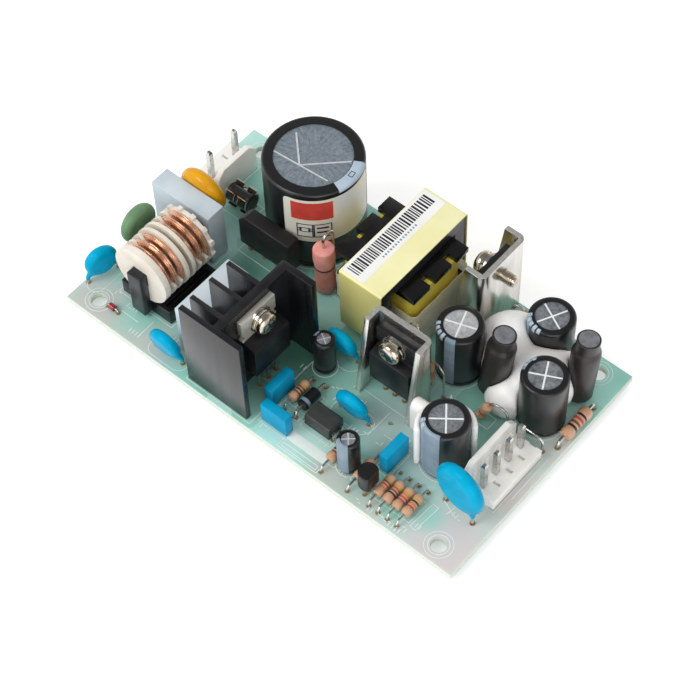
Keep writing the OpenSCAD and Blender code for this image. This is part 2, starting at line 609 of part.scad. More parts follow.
module choke_bobbin() {
    color([0.93, 0.91, 0.86]) on_choke_axis() difference() {
        union() {
            cylinder(r = choke_tube_r, h = choke_length);
            for (k = [0, 3, 4, 7]) translate([0, 0, choke_f[k]])
                cylinder(r = k == 7 ? choke_r - 0.7 : choke_r, h = choke_t[k]);
            // thin dividers, cut away on one side where the wire crosses to the next chamber
            for (k = [1, 2, 5, 6]) translate([0, 0, choke_f[k]]) difference() {
                cylinder(r = choke_r - 0.1, h = choke_t[k]);
                translate([0, 0, -1]) linear_extrude(height = choke_t[k] + 2)
                    polygon([[0, 0], for (a = [5, -35, -80, -125]) 2 * choke_r * [cos(a), sin(a)]]);
            }
            // teeth that turn the bobbin while it is wound on the closed core
            for (a = [0 : 30 : 330]) rotate([0, 0, a + 15]) translate([choke_r - 1.1, -0.55, choke_f[7]])
                cube([1.1, 1.1, choke_t[7]]);
        }
        translate([-choke_leg / 2 - 0.1, -choke_leg / 2 - 0.1, -1])
            cube([choke_leg + 0.2, choke_leg + 0.2, choke_length + 2]);
    }
}
module choke_windings() {
    color([0.80, 0.45, 0.28]) on_choke_axis() for (k = [0, 1, 2, 4, 5, 6])
        translate([0, 0, choke_f[k] + choke_t[k]]) rotate_extrude() union() {
            translate([choke_tube_r, 0.01]) square([choke_copper_r - choke_w / 4 - choke_tube_r,
                choke_w - 0.02]);
            for (m = [0.25, 0.75]) translate([choke_copper_r - choke_w / 4, m * choke_w])
                circle(r = choke_w / 4 - 0.01, $fn = 24);
        }
}
module choke_base() {
    h = choke_leg / 2 + 0.2;
    y = choke_length / 2 - 0.3;
    color([0.12, 0.12, 0.13]) on_board() translate([choke_at[0], choke_at[1], 0]) difference() {
        box(-7, 7, -y, y, 0, 3.9);
        box(-h, h, -y - 1, y + 1, choke_low, 5);
        for (s = [-1, 1]) translate([s * 5.6, 0, 0]) box(-0.8, 0.8, -y + 1.2, y - 1.2, 2.6, 5);
    }
}

// ---------------- electrolytic capacitors ----------------
// aluminium can with pressure vent grooves scored in the top, each [x, y, x, y]
module can(r, h, grooves, w) {
    top = h - sleeve_wall;
    difference() {
        translate([0, 0, 0.8]) cylinder(r = r - sleeve_wall, h = top - 0.8);
        for (g = grooves) translate([g[0], g[1], top - 0.2])
            rotate([0, 0, atan2(g[3] - g[1], g[2] - g[0])]) translate([0, -w / 2, 0])
            cube([norm([g[2] - g[0], g[3] - g[1]]), w, 1]);
    }
}
function cross(l, a) = [for (t = [a, a + 90]) l * [-cos(t), -sin(t), cos(t), sin(t)]];
bulk_vent = [[-7.3, -4.1, 6.7, -3.1], [-0.6, -3.6, -6.9, 2.6], [-0.6, -3.6, 7.2, 4.0]];
module sleeve(r, h) {
    lap = sleeve_lap * (r > 8 ? 1 : r > 3.5 ? 0.62 : 0.32);
    difference() {
        translate([0, 0, 0.5]) cylinder(r = r, h = h - 0.5);
        translate([0, 0, -1]) cylinder(r = r - sleeve_wall, h = h + 1 - sleeve_wall);
        translate([0, 0, h - 2]) cylinder(r = r - lap, h = 4);
    }
}
module bulk_capacitor_can() {
    color([0.55, 0.57, 0.60]) on_board() place(bulk_at, 0) can(bulk_r, bulk_height, bulk_vent, 0.45);
}
module bulk_capacitor_sleeve() {
    color([0.10, 0.10, 0.11]) on_board() place(bulk_at, 0) sleeve(bulk_r, bulk_height);
}
module output_capacitor_cans() {
    color([0.75, 0.76, 0.78]) on_board() for (k = [0 : 3]) place(oc_at[k], 0)
        can(out_cap_r, out_cap_height, cross(out_cap_r - 1.5, oc_turn[k] + 30), 0.3);
}
module output_capacitor_sleeves() {
    color([0.13, 0.13, 0.14]) on_board() for (p = oc_at) place(p, 0) sleeve(out_cap_r, out_cap_height);
}
module small_capacitor_cans() {
    color([0.75, 0.76, 0.78]) on_board() for (k = [0, 1]) place(sc_at[k], 0)
        can(small_cap_r, small_cap_height, cross(small_cap_r - 0.9, sc_turn[k]), 0.2);
}
module small_capacitor_sleeves() {
    color([0.20, 0.20, 0.22]) on_board() for (p = sc_at) place(p, 0)
        sleeve(small_cap_r, small_cap_height);
}
module capacitor_bungs() {
    color([0.08, 0.08, 0.08]) on_board() {
        place(bulk_at, 0) cylinder(r = bulk_r - 1, h = 0.8);
        for (p = oc_at) place(p, 0) cylinder(r = out_cap_r - 0.7, h = 0.8);
        for (p = sc_at) place(p, 0) cylinder(r = small_cap_r - 0.5, h = 0.8);
    }
}

// ---------------- power packages and their heatsinks ----------------
sink_y0 = -28.7;
sink_y1 = -6.4;
module primary_heatsink() {
    b = sink_face_x - sink_base;
    color([0.10, 0.10, 0.11]) on_board() difference() {
        union() {
            box(b, sink_face_x, sink_y0, sink_y1, 0, sink_height);
            box(b - sink_reach, -2, sink_y0, sink_y0 + 1.3, 0, sink_height);
            box(sink_face_x - eps, -1.3, sink_y1 - 1.5, sink_y1, 0, sink_height);
            for (y = [-24.8, -19.2, -14]) box(b - sink_reach, b + eps, y - sink_fin / 2,
                y + sink_fin / 2, 0, sink_height);
        }
        translate([b - 0.5, pk_sw[1], pk_sw[2] - hole_drop]) rotate([0, 90, 0])
            cylinder(r = screw_r, h = sink_base + 1, $fn = 24);
    }
}
module heatsink_pins() {
    color([0.70, 0.70, 0.68]) on_board() for (l = leads_sink) translate([l[0], l[1], below])
        cylinder(r = l[2], h = l[3] - below, $fn = 24);
}
// mounting face of a package at local y = 0, the package on the -Y side, tab top at z, thickness t
module package_tab_plate(z, low, t) {
    difference() {
        box(-package_width / 2 + 0.1, package_width / 2 - 0.1, -t, 0, low, z);
        translate([0, 1, z - hole_drop]) rotate([90, 0, 0])
            cylinder(r = screw_r + screw_clearance, h = t + 2, $fn = 24);
        for (s = [-1, 1]) translate([s * package_width / 2, 0, z - package_tab_rise + 1.2])
            rotate([90, 0, 0])
            translate([0, 0, -1]) cylinder(r = 0.8, h = 4, $fn = 24);
    }
}
module package_block(z) {
    z1 = z - package_tab_rise;
    z0 = z1 - package_body;
    t = package_thick;
    w = package_width / 2;
    translate([-w, 0, 0]) rotate([90, 0, 90]) linear_extrude(height = 2 * w)
        polygon([[0, z0], [0, z1], [-package_tab - 0.2, z1], [-t, z1 - 0.5], [-t, z0 + 0.3],
            [-t + 0.5, z0]]);
}
module on_pack(k) {
    if (k == 0) place([pk_sw[0], pk_sw[1]], 90) children();
    if (k == 1) place([ch1_at[0], ch1_at[1] - channel_sheet], ch1_turn) children();
    if (k == 2) place([ch2_at[0] - channel_sheet, ch2_at[1] + ch2_shift], ch2_turn) children();
}
module switching_transistor_body() {
    color([0.10, 0.10, 0.11]) on_board() on_pack(0) difference() {
        package_block(pk_sw[2]);
        box(-package_width / 2 + 0.1, package_width / 2 - 0.1, -package_tab, 1,
            pk_sw[2] - package_tab_rise - package_body + 0.8, pk_sw[2]);
    }
}
module switching_transistor_tab() {
    color([0.80, 0.79, 0.76]) on_board() on_pack(0)
        package_tab_plate(pk_sw[2], pk_sw[2] - package_tab_rise - package_body + 0.8, package_tab);
}
module output_rectifiers() {
    color([0.12, 0.12, 0.13]) on_board() for (k = [1, 2]) on_pack(k) {
        package_block(pk_top);
        package_tab_plate(pk_top, pk_top - package_tab_rise - 1, moulded_tab);
    }
}
function pack_top(k) = k == 0 ? pk_sw[2] : pk_top;
function tab_of(k) = k == 0 ? package_tab : moulded_tab;
function behind(k) = k == 0 ? sink_base : channel_sheet + screw_stick_out;
plain_t = 0.5;
spring_t = 0.7;
module fixing_screws() {
    head = 1.9;
    color([0.75, 0.73, 0.68]) on_board() for (k = [0, 1, 2]) on_pack(k)
        translate([0, 0, pack_top(k) - hole_drop]) rotate([90, 0, 0])
            translate([0, 0, tab_of(k) + plain_t + spring_t]) difference() {
            union() {
                shank = tab_of(k) + plain_t + spring_t + behind(k);
                translate([0, 0, -shank]) cylinder(r = screw_r, h = shank + eps, $fn = 24);
                cylinder(r = screw_head_r, h = head * 0.55, $fn = 32);
                translate([0, 0, head * 0.55 - eps]) cylinder(r1 = screw_head_r,
                    r2 = screw_head_r * 0.62, h = head * 0.45, $fn = 32);
            }
            for (a = [20, 110]) rotate([0, 0, a])
                translate([-screw_head_r * 0.55, -0.32, head - 0.8])
                    cube([screw_head_r * 1.1, 0.64, 2]);
        }
}
module spring_washers() {
    color([0.65, 0.63, 0.58]) on_board() for (k = [0, 1, 2]) on_pack(k)
        translate([0, 0, pack_top(k) - hole_drop]) rotate([90, 0, 0])
            translate([0, 0, tab_of(k) + plain_t]) difference() {
            cylinder(r = screw_head_r + 0.05, h = spring_t, $fn = 32);
            translate([0, 0, -1]) cylinder(r = screw_r + 0.1, h = 3, $fn = 32);
            rotate([0, 0, 140]) translate([0, -0.2, -1]) cube([5, 0.4, 3]);
        }
}
module plain_washers() {
    color([0.72, 0.72, 0.72]) on_board() for (k = [0, 1, 2]) on_pack(k)
        translate([0, 0, pack_top(k) - hole_drop]) rotate([90, 0, 0])
            translate([0, 0, tab_of(k)]) tube(screw_head_r + 0.25, screw_r + 0.15, plain_t);
}
// bent sheet channel: web against local y = 0, wings towards -Y tapering to wing at the top, with two
// feet through the board
module channel(wing) {
    w = channel_width;
    d = channel_wing_foot;
    t = channel_sheet;
    rb = 1.6;
    difference() {
        linear_extrude(height = channel_height) difference() {
            union() {
                translate([-w / 2, -d]) square([w, d - rb]);
                translate([-w / 2 + rb, -rb - 0.5]) square([w - 2 * rb, rb + 0.5]);
                for (s = [-1, 1]) translate([s * (w / 2 - rb), -rb]) circle(r = rb);
            }
            translate([-w / 2 + t, -d - 1]) square([w - 2 * t, d + 1 - t]);
        }
        translate([-w / 2 - 1, 0, 0]) rotate([90, 0, 90]) linear_extrude(height = w + 2)
            polygon([[-d - 1, 0.5], [-d, 0.5], [-wing, channel_height], [-wing, channel_height + 1],
                [-d - 1, channel_height + 1]]);
        translate([0, 1, 0]) rotate([90, 0, 0]) children();
    }
    for (s = [-1, 1]) box(s * 4.3 - foot[0] / 2, s * 4.3 + foot[0] / 2, -t, 0, below, eps);
}
module output_heatsink_left() {
    color([0.80, 0.80, 0.78]) on_board() place(ch1_at, ch1_turn)
        channel(channel_wing_top)
        translate([0, pk_top - hole_drop, 0]) cylinder(r = screw_r, h = channel_sheet + 2, $fn = 24);
}
module output_heatsink_right() {
    color([0.80, 0.80, 0.78]) on_board() place(ch2_at, ch2_turn)
        channel(right_wing_top)
        translate([-ch2_shift, pk_top - hole_drop, 0]) cylinder(r = screw_r, h = channel_sheet + 2,
            $fn = 24);
}

// ---------------- transformer ----------------
module transformer_core() {
    x = core_thick / 2;
    y = core_length / 2;
    color([0.25, 0.25, 0.26]) on_board() place(core_at, 0) {
        difference() {
            box(-x, x, -y, y, core_bottom, core_top);
            box(-x - 1, x + 1, -y + core_leg, y - core_leg, bob_low, bob_top);
        }
        translate([0, 0, bob_low - eps]) cylinder(r = core_centre_r, h = bob_top - bob_low + 2 * eps);
    }
}
module transformer_tape() {
    x = core_thick / 2 + 0.25;
    y = core_length / 2;
    t = tape_thick;
    color([0.90, 0.86, 0.60]) on_board() place(core_at, 0) difference() {
        box(-x, x, -y - t, y + t, core_bottom - t, core_top + t);
        box(-x - 1, x + 1, -y, y, core_bottom, core_top);
    }
}
bob_tube_r = core_centre_r + 1.2;
module bobbin_plate() {
    difference() {
        box(-bob_x / 2, bob_x / 2, -bob_y / 2, bob_y / 2, 0, bobbin_flange);
        for (s = [-1, 1]) for (y = [-2.8, 4.2]) translate([s * bob_x / 2, y, 0])
            box(-2.4, 2.4, -0.85, 0.85, -1, 5);
    }
}
module transformer_bobbin() {
    color([0.10, 0.10, 0.11]) on_board() {
        difference() {
            union() {
                place(bob_at, 0) translate([0, 0, bob_top - bobbin_flange]) bobbin_plate();
                place(bob_at, 0) translate([0, 0, bob_low]) bobbin_plate();
                place(core_at, 0) translate([0, 0, bob_low]) cylinder(r = bob_tube_r,
                    h = bob_top - bob_low);
            }
            place(core_at, 0) translate([0, 0, bob_low - 1]) cylinder(r = core_centre_r + 0.12,
                h = bob_top - bob_low + 2);
        }
        for (s = [-1, 1]) place(bob_at, 0) translate([s * (bob_x / 2 - 1.3), 0, 0]) {
            box(-1.3, 1.3, -bob_y / 2, bob_y / 2, 0.8, bob_low + eps);
            for (t = [-1, 1]) translate([0, t * (bob_y / 2 - 0.35), 0])
                box(-1.3, 1.3, -0.35, 0.35, 0, 0.8 + eps);
        }
    }
}
module transformer_windings() {
    x = bob_x / 2 - 0.8;
    y = bob_y / 2 - 0.7;
    r = 2.5;
    color([0.90, 0.75, 0.20]) on_board() difference() {
        place(bob_at, 0) translate([0, 0, bob_low + bobbin_flange])
            linear_extrude(height = bob_top - bob_low - 2 * bobbin_flange) union() {
                square([2 * x, 2 * (y - r)], center = true);
                square([2 * (x - r), 2 * y], center = true);
                for (sx = [-1, 1]) for (sy = [-1, 1]) translate([sx * (x - r), sy * (y - r)])
                    circle(r = r);
            }
        place(core_at, 0) translate([0, 0, bob_low]) cylinder(r = bob_tube_r, h = bob_top - bob_low);
    }
}

// ---------------- output filter ----------------
module on_filter(k) { translate([fc_base[k][0], fc_base[k][1], 0.5])
    rotate([fc_lean[k][0], fc_lean[k][1], 0]) children(); }
module filter_choke_cores() {
    color([0.32, 0.33, 0.35]) on_board() for (k = [0, 1]) difference() {
        on_filter(k) cylinder(r = fc_rod_r, h = fc_height[k]);
        for (s = [-1, 1]) translate([fc_base[k][0] + s * 1.5, fc_base[k][1], -1])
            cylinder(r = 0.35, h = 2.8, $fn = 24);
    }
}
module filter_choke_windings() {
    color([0.75, 0.42, 0.25]) on_board() for (k = [0, 1]) on_filter(k)
        translate([0, 0, 1.2]) tube(fc_rod_r + 0.6, fc_rod_r, fc_height[k] - 5.4);
}
module filter_choke_sleeves() {
    a = fc_rod_r;
    b = fc_rod_r + 0.6;
    w = 0.25;
    color([0.11, 0.10, 0.10]) on_board() for (k = [0, 1]) on_filter(k) {
        h = fc_height[k];
        rotate_extrude() polygon([[b, 0.3], [b + w, 0.3], [b + w, h - 4], [a + w, h - 2.9],
            [a + w, h - 0.1], [a, h - 0.1], [a, h - 3.1], [b, h - 4.1]]);
    }
}
module neighbours() {
    for (k = [0 : 3]) place(oc_at[k], 0) translate([0, 0, -1])
        cylinder(r = out_cap_r, h = out_cap_height + 3);
    for (k = [0, 1]) on_filter(k) translate([0, 0, -2])
        cylinder(r = fc_rod_r + 0.85, h = fc_height[k] + 4);
    translate([upright_res[2][0], upright_res[2][1], -1]) cylinder(r = resistor_r + 0.1, h = 12);
}
module silicone_adhesive() {
    color([0.92, 0.92, 0.90]) on_board() {
        difference() {
            union() {
                translate([31, 16.8, 5.2]) sphere(r = 8);
                translate([39.8, 15.8, 4.6]) sphere(r = 7.8);
                translate([36.5, 9.5, 2.4]) sphere(r = 5.6);
            }
            translate([0, 0, -20]) cube([120, 120, 40], center = true);
            neighbours();
            box(ch2_at[0] - 10, ch2_at[0] + 0.3, 10, 30, -1, 30);
        }
        difference() {
            union() {
                translate([oc_at[1][0], oc_at[1][1], 0]) cylinder(r = 6.4, h = 13.6);
                box(ch1_at[0] + channel_width / 2, 31, -9.2, -5.8, 0, 8);
                translate([ch1_at[0] + channel_width / 2, -7.5, 8]) rotate([0, 90, 0])
                    cylinder(r = 1.7, h = 6);
                translate([32.7, -5.5, 12.6]) cylinder(r1 = 0.85, r2 = 0.12, h = 4.4);
            }
            place(oc_at[1], 0) translate([0, 0, -1]) cylinder(r = out_cap_r, h = out_cap_height + 3);
            place(oc_at[1], 42) translate([-8, -16, -1]) cube([24, 15, 30]);
        }
    }
}

// ---------------- control parts ----------------
module film_capacitors() {
    color([0.02, 0.45, 0.68]) on_board() for (f = film_at) place(f, f[2])
        box(-film_size[0] / 2, film_size[0] / 2, -film_size[1] / 2, film_size[1] / 2, 0.3, film_size[2]);
}
module optocoupler() {
    color([0.14, 0.14, 0.15]) on_board() place(opto_at, 0) difference() {
        box(-3.25, 3.25, -2.3, 2.3, 0.6, 3.9);
        translate([-2.3, 1.4, 3.7]) cylinder(r = 0.45, h = 1, $fn = 24);
        for (s = [-1, 1]) translate([0, s * 2.3, 3.9]) rotate([45, 0, 0])
            cube([10, 0.6, 0.6], center = true);
    }
}
module small_transistor() {
    color([0.15, 0.14, 0.14]) on_board() place(to92_at, 90) difference() {
        translate([0, 0, to92_rise]) cylinder(r = 2.15, h = 4.6);
        box(-3, 3, -4, -1.35, 0, 8);
    }
}
module lying_body(x, y, z, l) { translate([x, y - l / 2, z]) rotate([-90, 0, 0]) children(); }
// dumb-bell body of an axial resistor, on its own axis
module resistor_body(r, l) {
    rotate_extrude() union() {
        square([r * 0.86, l]);
        for (z = [0, l - 1.3]) translate([0, z]) {
            square([r - 0.4, 1.3]);
            translate([0, 0.4]) square([r, 0.5]);
            for (m = [0.4, 0.9]) translate([r - 0.4, m]) circle(r = 0.4, $fn = 24);
        }
    }
}
module resistors() {
    color([0.80, 0.62, 0.48]) on_board() {
        for (f = flat_res) lying_body(f[0], f[1], res_z, resistor_length)
            resistor_body(resistor_r, resistor_length);
        for (u = upright_res) difference() {
            translate([u[0], u[1], u[5]]) rotate([0, 0, atan2(u[3] - u[1], u[2] - u[0])])
                rotate([0, u[4], 0]) resistor_body(resistor_r, resistor_length);
            if (u[4] > 0) translate([u[0], u[1], 0]) cylinder(r = 0.25, h = u[5] + socket, $fn = 24);
        }
    }
}
module edge_resistor() {
    color([0.80, 0.62, 0.48]) on_board()
        lying_body(edge_res[0], edge_res[1], edge_z, edge_res_length)
            resistor_body(edge_res_r, edge_res_length);
}
module diode() {
    color([0.10, 0.10, 0.11]) on_board() lying_body(diode_at[0], diode_at[1], diode_z, diode_length)
        cylinder(r = diode_r, h = diode_length);
}
module signal_bead() {
    color([0.65, 0.05, 0.08]) on_board() translate([bead_at[0] - 0.7, bead_at[1], 1.0]) rotate([0, 90, 0])
        cylinder(r = 0.75, h = 1.4, $fn = 24);
}

circuit_board();
solder_joints();
component_leads();
wire_links();
ac_header_housing();
dc_header_housing();
header_pins();
fuse_body();
fuse_clips();
varistor();
inrush_thermistor();
x_capacitor_input();
x_capacitor_filter();
choke_core();
choke_bobbin();
choke_windings();
choke_base();
y_capacitors();
y_capacitor_output();
bridge_rectifier();
bulk_capacitor_can();
bulk_capacitor_sleeve();
capacitor_bungs();
output_capacitor_cans();
output_capacitor_sleeves();
small_capacitor_cans();
small_capacitor_sleeves();
power_resistor();
primary_heatsink();
heatsink_pins();
switching_transistor_body();
switching_transistor_tab();
transformer_core();
transformer_bobbin();
transformer_windings();
transformer_tape();
output_heatsink_left();
output_heatsink_right();
output_rectifiers();
fixing_screws();
spring_washers();
plain_washers();
filter_choke_cores();
filter_choke_windings();
filter_choke_sleeves();
silicone_adhesive();
film_capacitors();
optocoupler();
small_transistor();
diode();
resistors();
edge_resistor();
signal_bead();
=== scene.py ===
# %% [markdown]
# # Dressing an open frame power supply
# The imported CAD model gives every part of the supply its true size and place. This lesson turns it
# into something that looks real: each part gets the finish of its real material, and the parts
# whose charm lies in detail, such as wound copper or printed sleeves, are modelled again in mesh.

# %% Load the frame
import bpy, bmesh, json, math, random
import numpy as np
from mathutils import Euler, Matrix, Vector


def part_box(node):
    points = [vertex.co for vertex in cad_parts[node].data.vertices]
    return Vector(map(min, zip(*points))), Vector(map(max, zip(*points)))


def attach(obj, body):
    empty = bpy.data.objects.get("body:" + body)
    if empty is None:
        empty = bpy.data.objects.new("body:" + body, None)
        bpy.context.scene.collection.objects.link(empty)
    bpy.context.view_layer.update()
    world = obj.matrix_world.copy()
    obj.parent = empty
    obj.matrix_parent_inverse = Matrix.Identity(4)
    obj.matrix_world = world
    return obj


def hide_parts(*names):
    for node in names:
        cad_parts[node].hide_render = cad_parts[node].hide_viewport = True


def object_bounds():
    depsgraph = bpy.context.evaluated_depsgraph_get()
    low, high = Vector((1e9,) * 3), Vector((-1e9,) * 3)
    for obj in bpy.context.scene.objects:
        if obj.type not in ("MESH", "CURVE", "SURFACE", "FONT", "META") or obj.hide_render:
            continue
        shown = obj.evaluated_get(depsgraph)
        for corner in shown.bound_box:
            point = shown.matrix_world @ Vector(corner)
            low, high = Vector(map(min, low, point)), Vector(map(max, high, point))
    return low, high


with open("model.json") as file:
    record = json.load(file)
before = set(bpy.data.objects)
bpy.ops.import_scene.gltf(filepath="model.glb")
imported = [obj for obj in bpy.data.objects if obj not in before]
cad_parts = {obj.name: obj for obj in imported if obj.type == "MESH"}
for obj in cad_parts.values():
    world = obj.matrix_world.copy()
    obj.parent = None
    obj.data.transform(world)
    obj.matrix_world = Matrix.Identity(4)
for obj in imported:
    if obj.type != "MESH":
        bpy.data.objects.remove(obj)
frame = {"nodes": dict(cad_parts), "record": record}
cad_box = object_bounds()
MM = 0.001
NODES = frame["nodes"]
print("nodes", len(NODES), "box", cad_box)

# %% [markdown]
# ## The camera
# The supply is seen from its front right corner, from well above. A long lens keeps the board's
# edges nearly parallel. Its turns about X, Y and Z are in degrees: 34 of tilt, 40 round the object,
# and about one of lean.

# %% Camera
lens = bpy.data.cameras.new("camera")
lens.sensor_width = 36
lens.lens = 106.525
lens.clip_start = 0.01
camera = bpy.data.objects.new("camera", lens)
camera_place = Vector((0.16627, -0.18214, 0.35995))
camera_turns = Euler([math.radians(turn) for turn in (34.117, 1.242, 40.340)])
camera.matrix_world = Matrix.LocRotScale(camera_place, camera_turns, None)
bpy.context.scene.collection.objects.link(camera)
bpy.context.scene.camera = camera
bpy.context.scene.view_settings.view_transform = "Standard"
print("camera height", round(camera.location.z, 3))

# %% [markdown]
# ## Building finishes
# Every finish is a small network of shader nodes. Three helpers are enough: one turns a colour
# written as sRGB hex into the linear values that Blender computes with, one adds a node with its
# settings and links, and one closes the network with a Principled shader.

# %% Finish helpers
def linear(code):
    parts = [int(code[k:k + 2], 16) / 255 for k in (0, 2, 4)]
    return [c / 12.92 if c <= 0.04045 else ((c + 0.055) / 1.055) ** 2.4 for c in parts] + [1.0]


def add(owner, kind, ins={}, **props):
    """Add one node: props are its own settings, ins its inputs, each a value or a socket to link."""
    node = owner.node_tree.nodes.new("ShaderNode" + kind)
    for key, value in props.items():
        setattr(node, key, value)
    for key, value in ins.items():
        if isinstance(value, bpy.types.NodeSocket):
            owner.node_tree.links.new(value, node.inputs[key])
        else:
            node.inputs[key].default_value = value
    return node


def blank(name):
    finish = bpy.data.materials.new(name)
    finish.use_nodes = True
    finish.node_tree.nodes.clear()
    return finish


def shade(finish, ins):
    shader = add(finish, "BsdfPrincipled", ins)
    add(finish, "OutputMaterial", {"Surface": shader.outputs[0]})
    return finish


# %% [markdown]
# No real surface is even. Plastic has cloudy patches and a fine texture from its mould, metal has
# streaks from rolling or brushing. One function describes that unevenness for any material: the
# colour drifts between two tones over patches of a given size, roughness drifts with it, and a fine
# grit disturbs the surface. Its sizes are real millimetres.

# %% Unevenness
def uneven(finish, light, dark, patch, rough, swing, grit, depth, stretch=(1, 1, 1)):
    place = add(finish, "TexCoord").outputs["Object"]
    drawn = add(finish, "Mapping", {"Vector": place, "Scale": stretch}).outputs[0]
    cloud = add(finish, "TexNoise", {"Vector": drawn, "Scale": 1000 / patch, "Detail": 3})
    level = add(finish, "MapRange", {"Value": cloud.outputs[0], "From Min": 0.3, "From Max": 0.7})
    tone = add(finish, "Mix", {0: level.outputs[0], 6: linear(light), 7: linear(dark)},
               data_type="RGBA")
    dull = add(finish, "MapRange", {"Value": level.outputs[0], "To Min": rough - swing,
                                    "To Max": rough + swing})
    fine = add(finish, "TexNoise", {"Vector": drawn, "Scale": 1000 / grit, "Detail": 2})
    bump = add(finish, "Bump", {"Height": fine.outputs[0], "Strength": 1.0,
                                "Distance": depth * MM})
    return {"Base Color": tone.outputs[2], "Roughness": dull.outputs[0], "Normal": bump.outputs[0]}


def plain(name, light, dark, patch, rough, swing, grit, depth, stretch=(1, 1, 1), **more):
    """A finish that needs nothing but its unevenness and a few fixed values of the shader."""
    finish = blank(name)
    ins = uneven(finish, light, dark, patch, rough, swing, grit, depth, stretch)
    ins.update({key.replace("_", " "): value for key, value in more.items()})
    return shade(finish, ins)


# %% [markdown]
# ## Plastics, coatings and ceramics
# Moulded nylon is ivory and slightly waxy, so light goes a little way into it. Polypropylene
# capacitor boxes are satin. Epoxy moulding compound is nearly black and matt with fine sparkle.
# Dipped epoxy is glossy under a clear coat. Ferrite is a dark grey ceramic, ground but not shiny.

# %% Plastics and coatings
nylon = plain("moulded_nylon", "FBFAF6", "F1EEE7", 6, 0.42, 0.06, 0.25, 0.01,
              Subsurface_Weight=0.25, Subsurface_Scale=0.001,
              Subsurface_Radius=(1, 0.9, 0.8))
bobbin_nylon = plain("bobbin_nylon", "E9E2D7", "DDD3C5", 4, 0.38, 0.06, 0.2, 0.01,
                     Subsurface_Weight=0.25, Subsurface_Scale=0.001,
                     Subsurface_Radius=(1, 0.9, 0.8))
box_plastic = plain("moulded_box_plastic", "CBD6DC", "BAC7CF", 9, 0.45, 0.06, 0.22, 0.012)
blue_box = plain("blue_film_box", "029ECA", "008CB6", 5, 0.36, 0.06, 0.2, 0.01,
                 Specular_IOR_Level=0.16)
compound = plain("epoxy_moulding_compound", "151618", "0B0B0D", 3, 0.38, 0.08, 0.12, 0.008)
compound_worn = plain("epoxy_compound_ground", "1C1A19", "100F0E", 4, 0.5, 0.08, 0.15, 0.012)
dip_package = plain("moulded_package_top", "3B3D3B", "2D2F2E", 3, 0.46, 0.08, 0.12, 0.01)
phenolic = plain("phenolic_bobbin", "0E0E0E", "060606", 4, 0.22, 0.08, 0.3, 0.012)
tray = plain("moulded_tray", "141517", "0C0D0E", 5, 0.32, 0.08, 0.25, 0.01)
rubber = plain("moulded_rubber", "141414", "0C0C0C", 3, 0.7, 0.05, 0.2, 0.01)
cyan_dip = plain("dipped_epoxy_cyan", "00A8D2", "0098C0", 3, 0.2, 0.05, 1.1, 0.015,
                 Specular_IOR_Level=0.08)
amber_dip = plain("dipped_epoxy_amber", "E6A614", "CE9008", 4, 0.22, 0.05, 1.3, 0.015,
                  Specular_IOR_Level=0.28)
ferrite = plain("ground_ferrite", "27282C", "191A1D", 4, 0.34, 0.08, 0.3, 0.012)
ferrite_end = plain("ferrite_rod_end", "7C7F84", "5E6165", 1.5, 0.45, 0.08, 0.25, 0.015)
salmon = plain("flameproof_paint", "EDA79C", "E08F84", 2, 0.38, 0.06, 0.5, 0.02)
# A darker brown for the lower part of the power resistor, which is painted shade.
salmon_painted_shade = plain("flameproof_paint_painted_shade", "C8877A", "B47266", 2, 0.42, 0.06, 0.5, 0.02)
scorched = plain("scorched_ring", "3A2320", "241615", 1, 0.5, 0.05, 0.4, 0.02)
red_glass = plain("red_glass", "A0101C", "70060E", 1, 0.12, 0.04, 0.5, 0.005,
                  Coat_Weight=1.0, Coat_Roughness=0.05)
sealant = plain("cured_silicone", "FCFBF9", "F3F1ED", 7, 0.3, 0.06, 3.0, 0.12,
                Subsurface_Weight=0.35, Subsurface_Scale=0.0015,
                Subsurface_Radius=(1, 0.95, 0.9))
print("plastics and coatings ready")

# %% [markdown]
# The thermistor's coating is a matt green with faint level ridges, left where the paste was dipped.
# A wave texture along Z draws them, 0.6 mm apart, on top of the usual unevenness.

# %% Thermistor coating
green_dip = blank("matt_green_dip")
green_ins = uneven(green_dip, "6E936B", "5D815C", 3, 0.55, 0.05, 0.5, 0.02)
green_place = add(green_dip, "TexCoord").outputs["Object"]
green_rows = add(green_dip, "TexWave", {"Vector": green_place, "Scale": 1000 / 0.6 / 6.283,
                                        "Distortion": 0.6}, bands_direction="Z")
green_ins["Normal"] = add(green_dip, "Bump", {"Height": green_rows.outputs[1], "Strength": 1.0,
                                              "Distance": 0.03 * MM,
                                              "Normal": green_ins["Normal"]}).outputs[0]
shade(green_dip, green_ins)

# %% [markdown]
# ## Metals
# Tinned wire and plated steel are white metals with soft reflections. The bent sheet of the output
# heatsinks is bright tinned steel, rolled along its height, so its streaks are drawn out along Z.
# Enamelled copper glows through a clear lacquer.

# %% Metals
tinned = plain("tinned_wire", "D6D6D2", "BDBDB8", 1.5, 0.26, 0.08, 0.3, 0.006, Metallic=1.0)
solder = plain("bright_solder", "C9CBCC", "AEB0B2", 1.0, 0.24, 0.08, 0.4, 0.02, Metallic=1.0)
# Brighter steel for the edges of the fuse clips, a painted highlight.
spring_steel = plain("spring_steel_edge_highlight", "DAD5CB", "BDB7AB", 1.2, 0.26, 0.08, 0.3, 0.006,
                     Metallic=0.6)
nickel = plain("nickel_plate", "D9CFC0", "BDB09D", 1.2, 0.16, 0.06, 0.25, 0.004, Metallic=1.0)
zinc = plain("zinc_plate", "CFCFCC", "AFAFAC", 1.2, 0.24, 0.07, 0.25, 0.005, Metallic=1.0)
tab_plate = plain("matt_plated_copper_tab", "DCD9D0", "C8C4B9", 3, 0.45, 0.06, 0.12, 0.008,
                  (1, 1, 0.15), Metallic=0.6)
sheet = plain("bright_tinned_sheet", "E0DED9", "CBC8C1", 3, 0.25, 0.06, 0.25, 0.004,
              (1, 1, 0.08), Metallic=1.0)
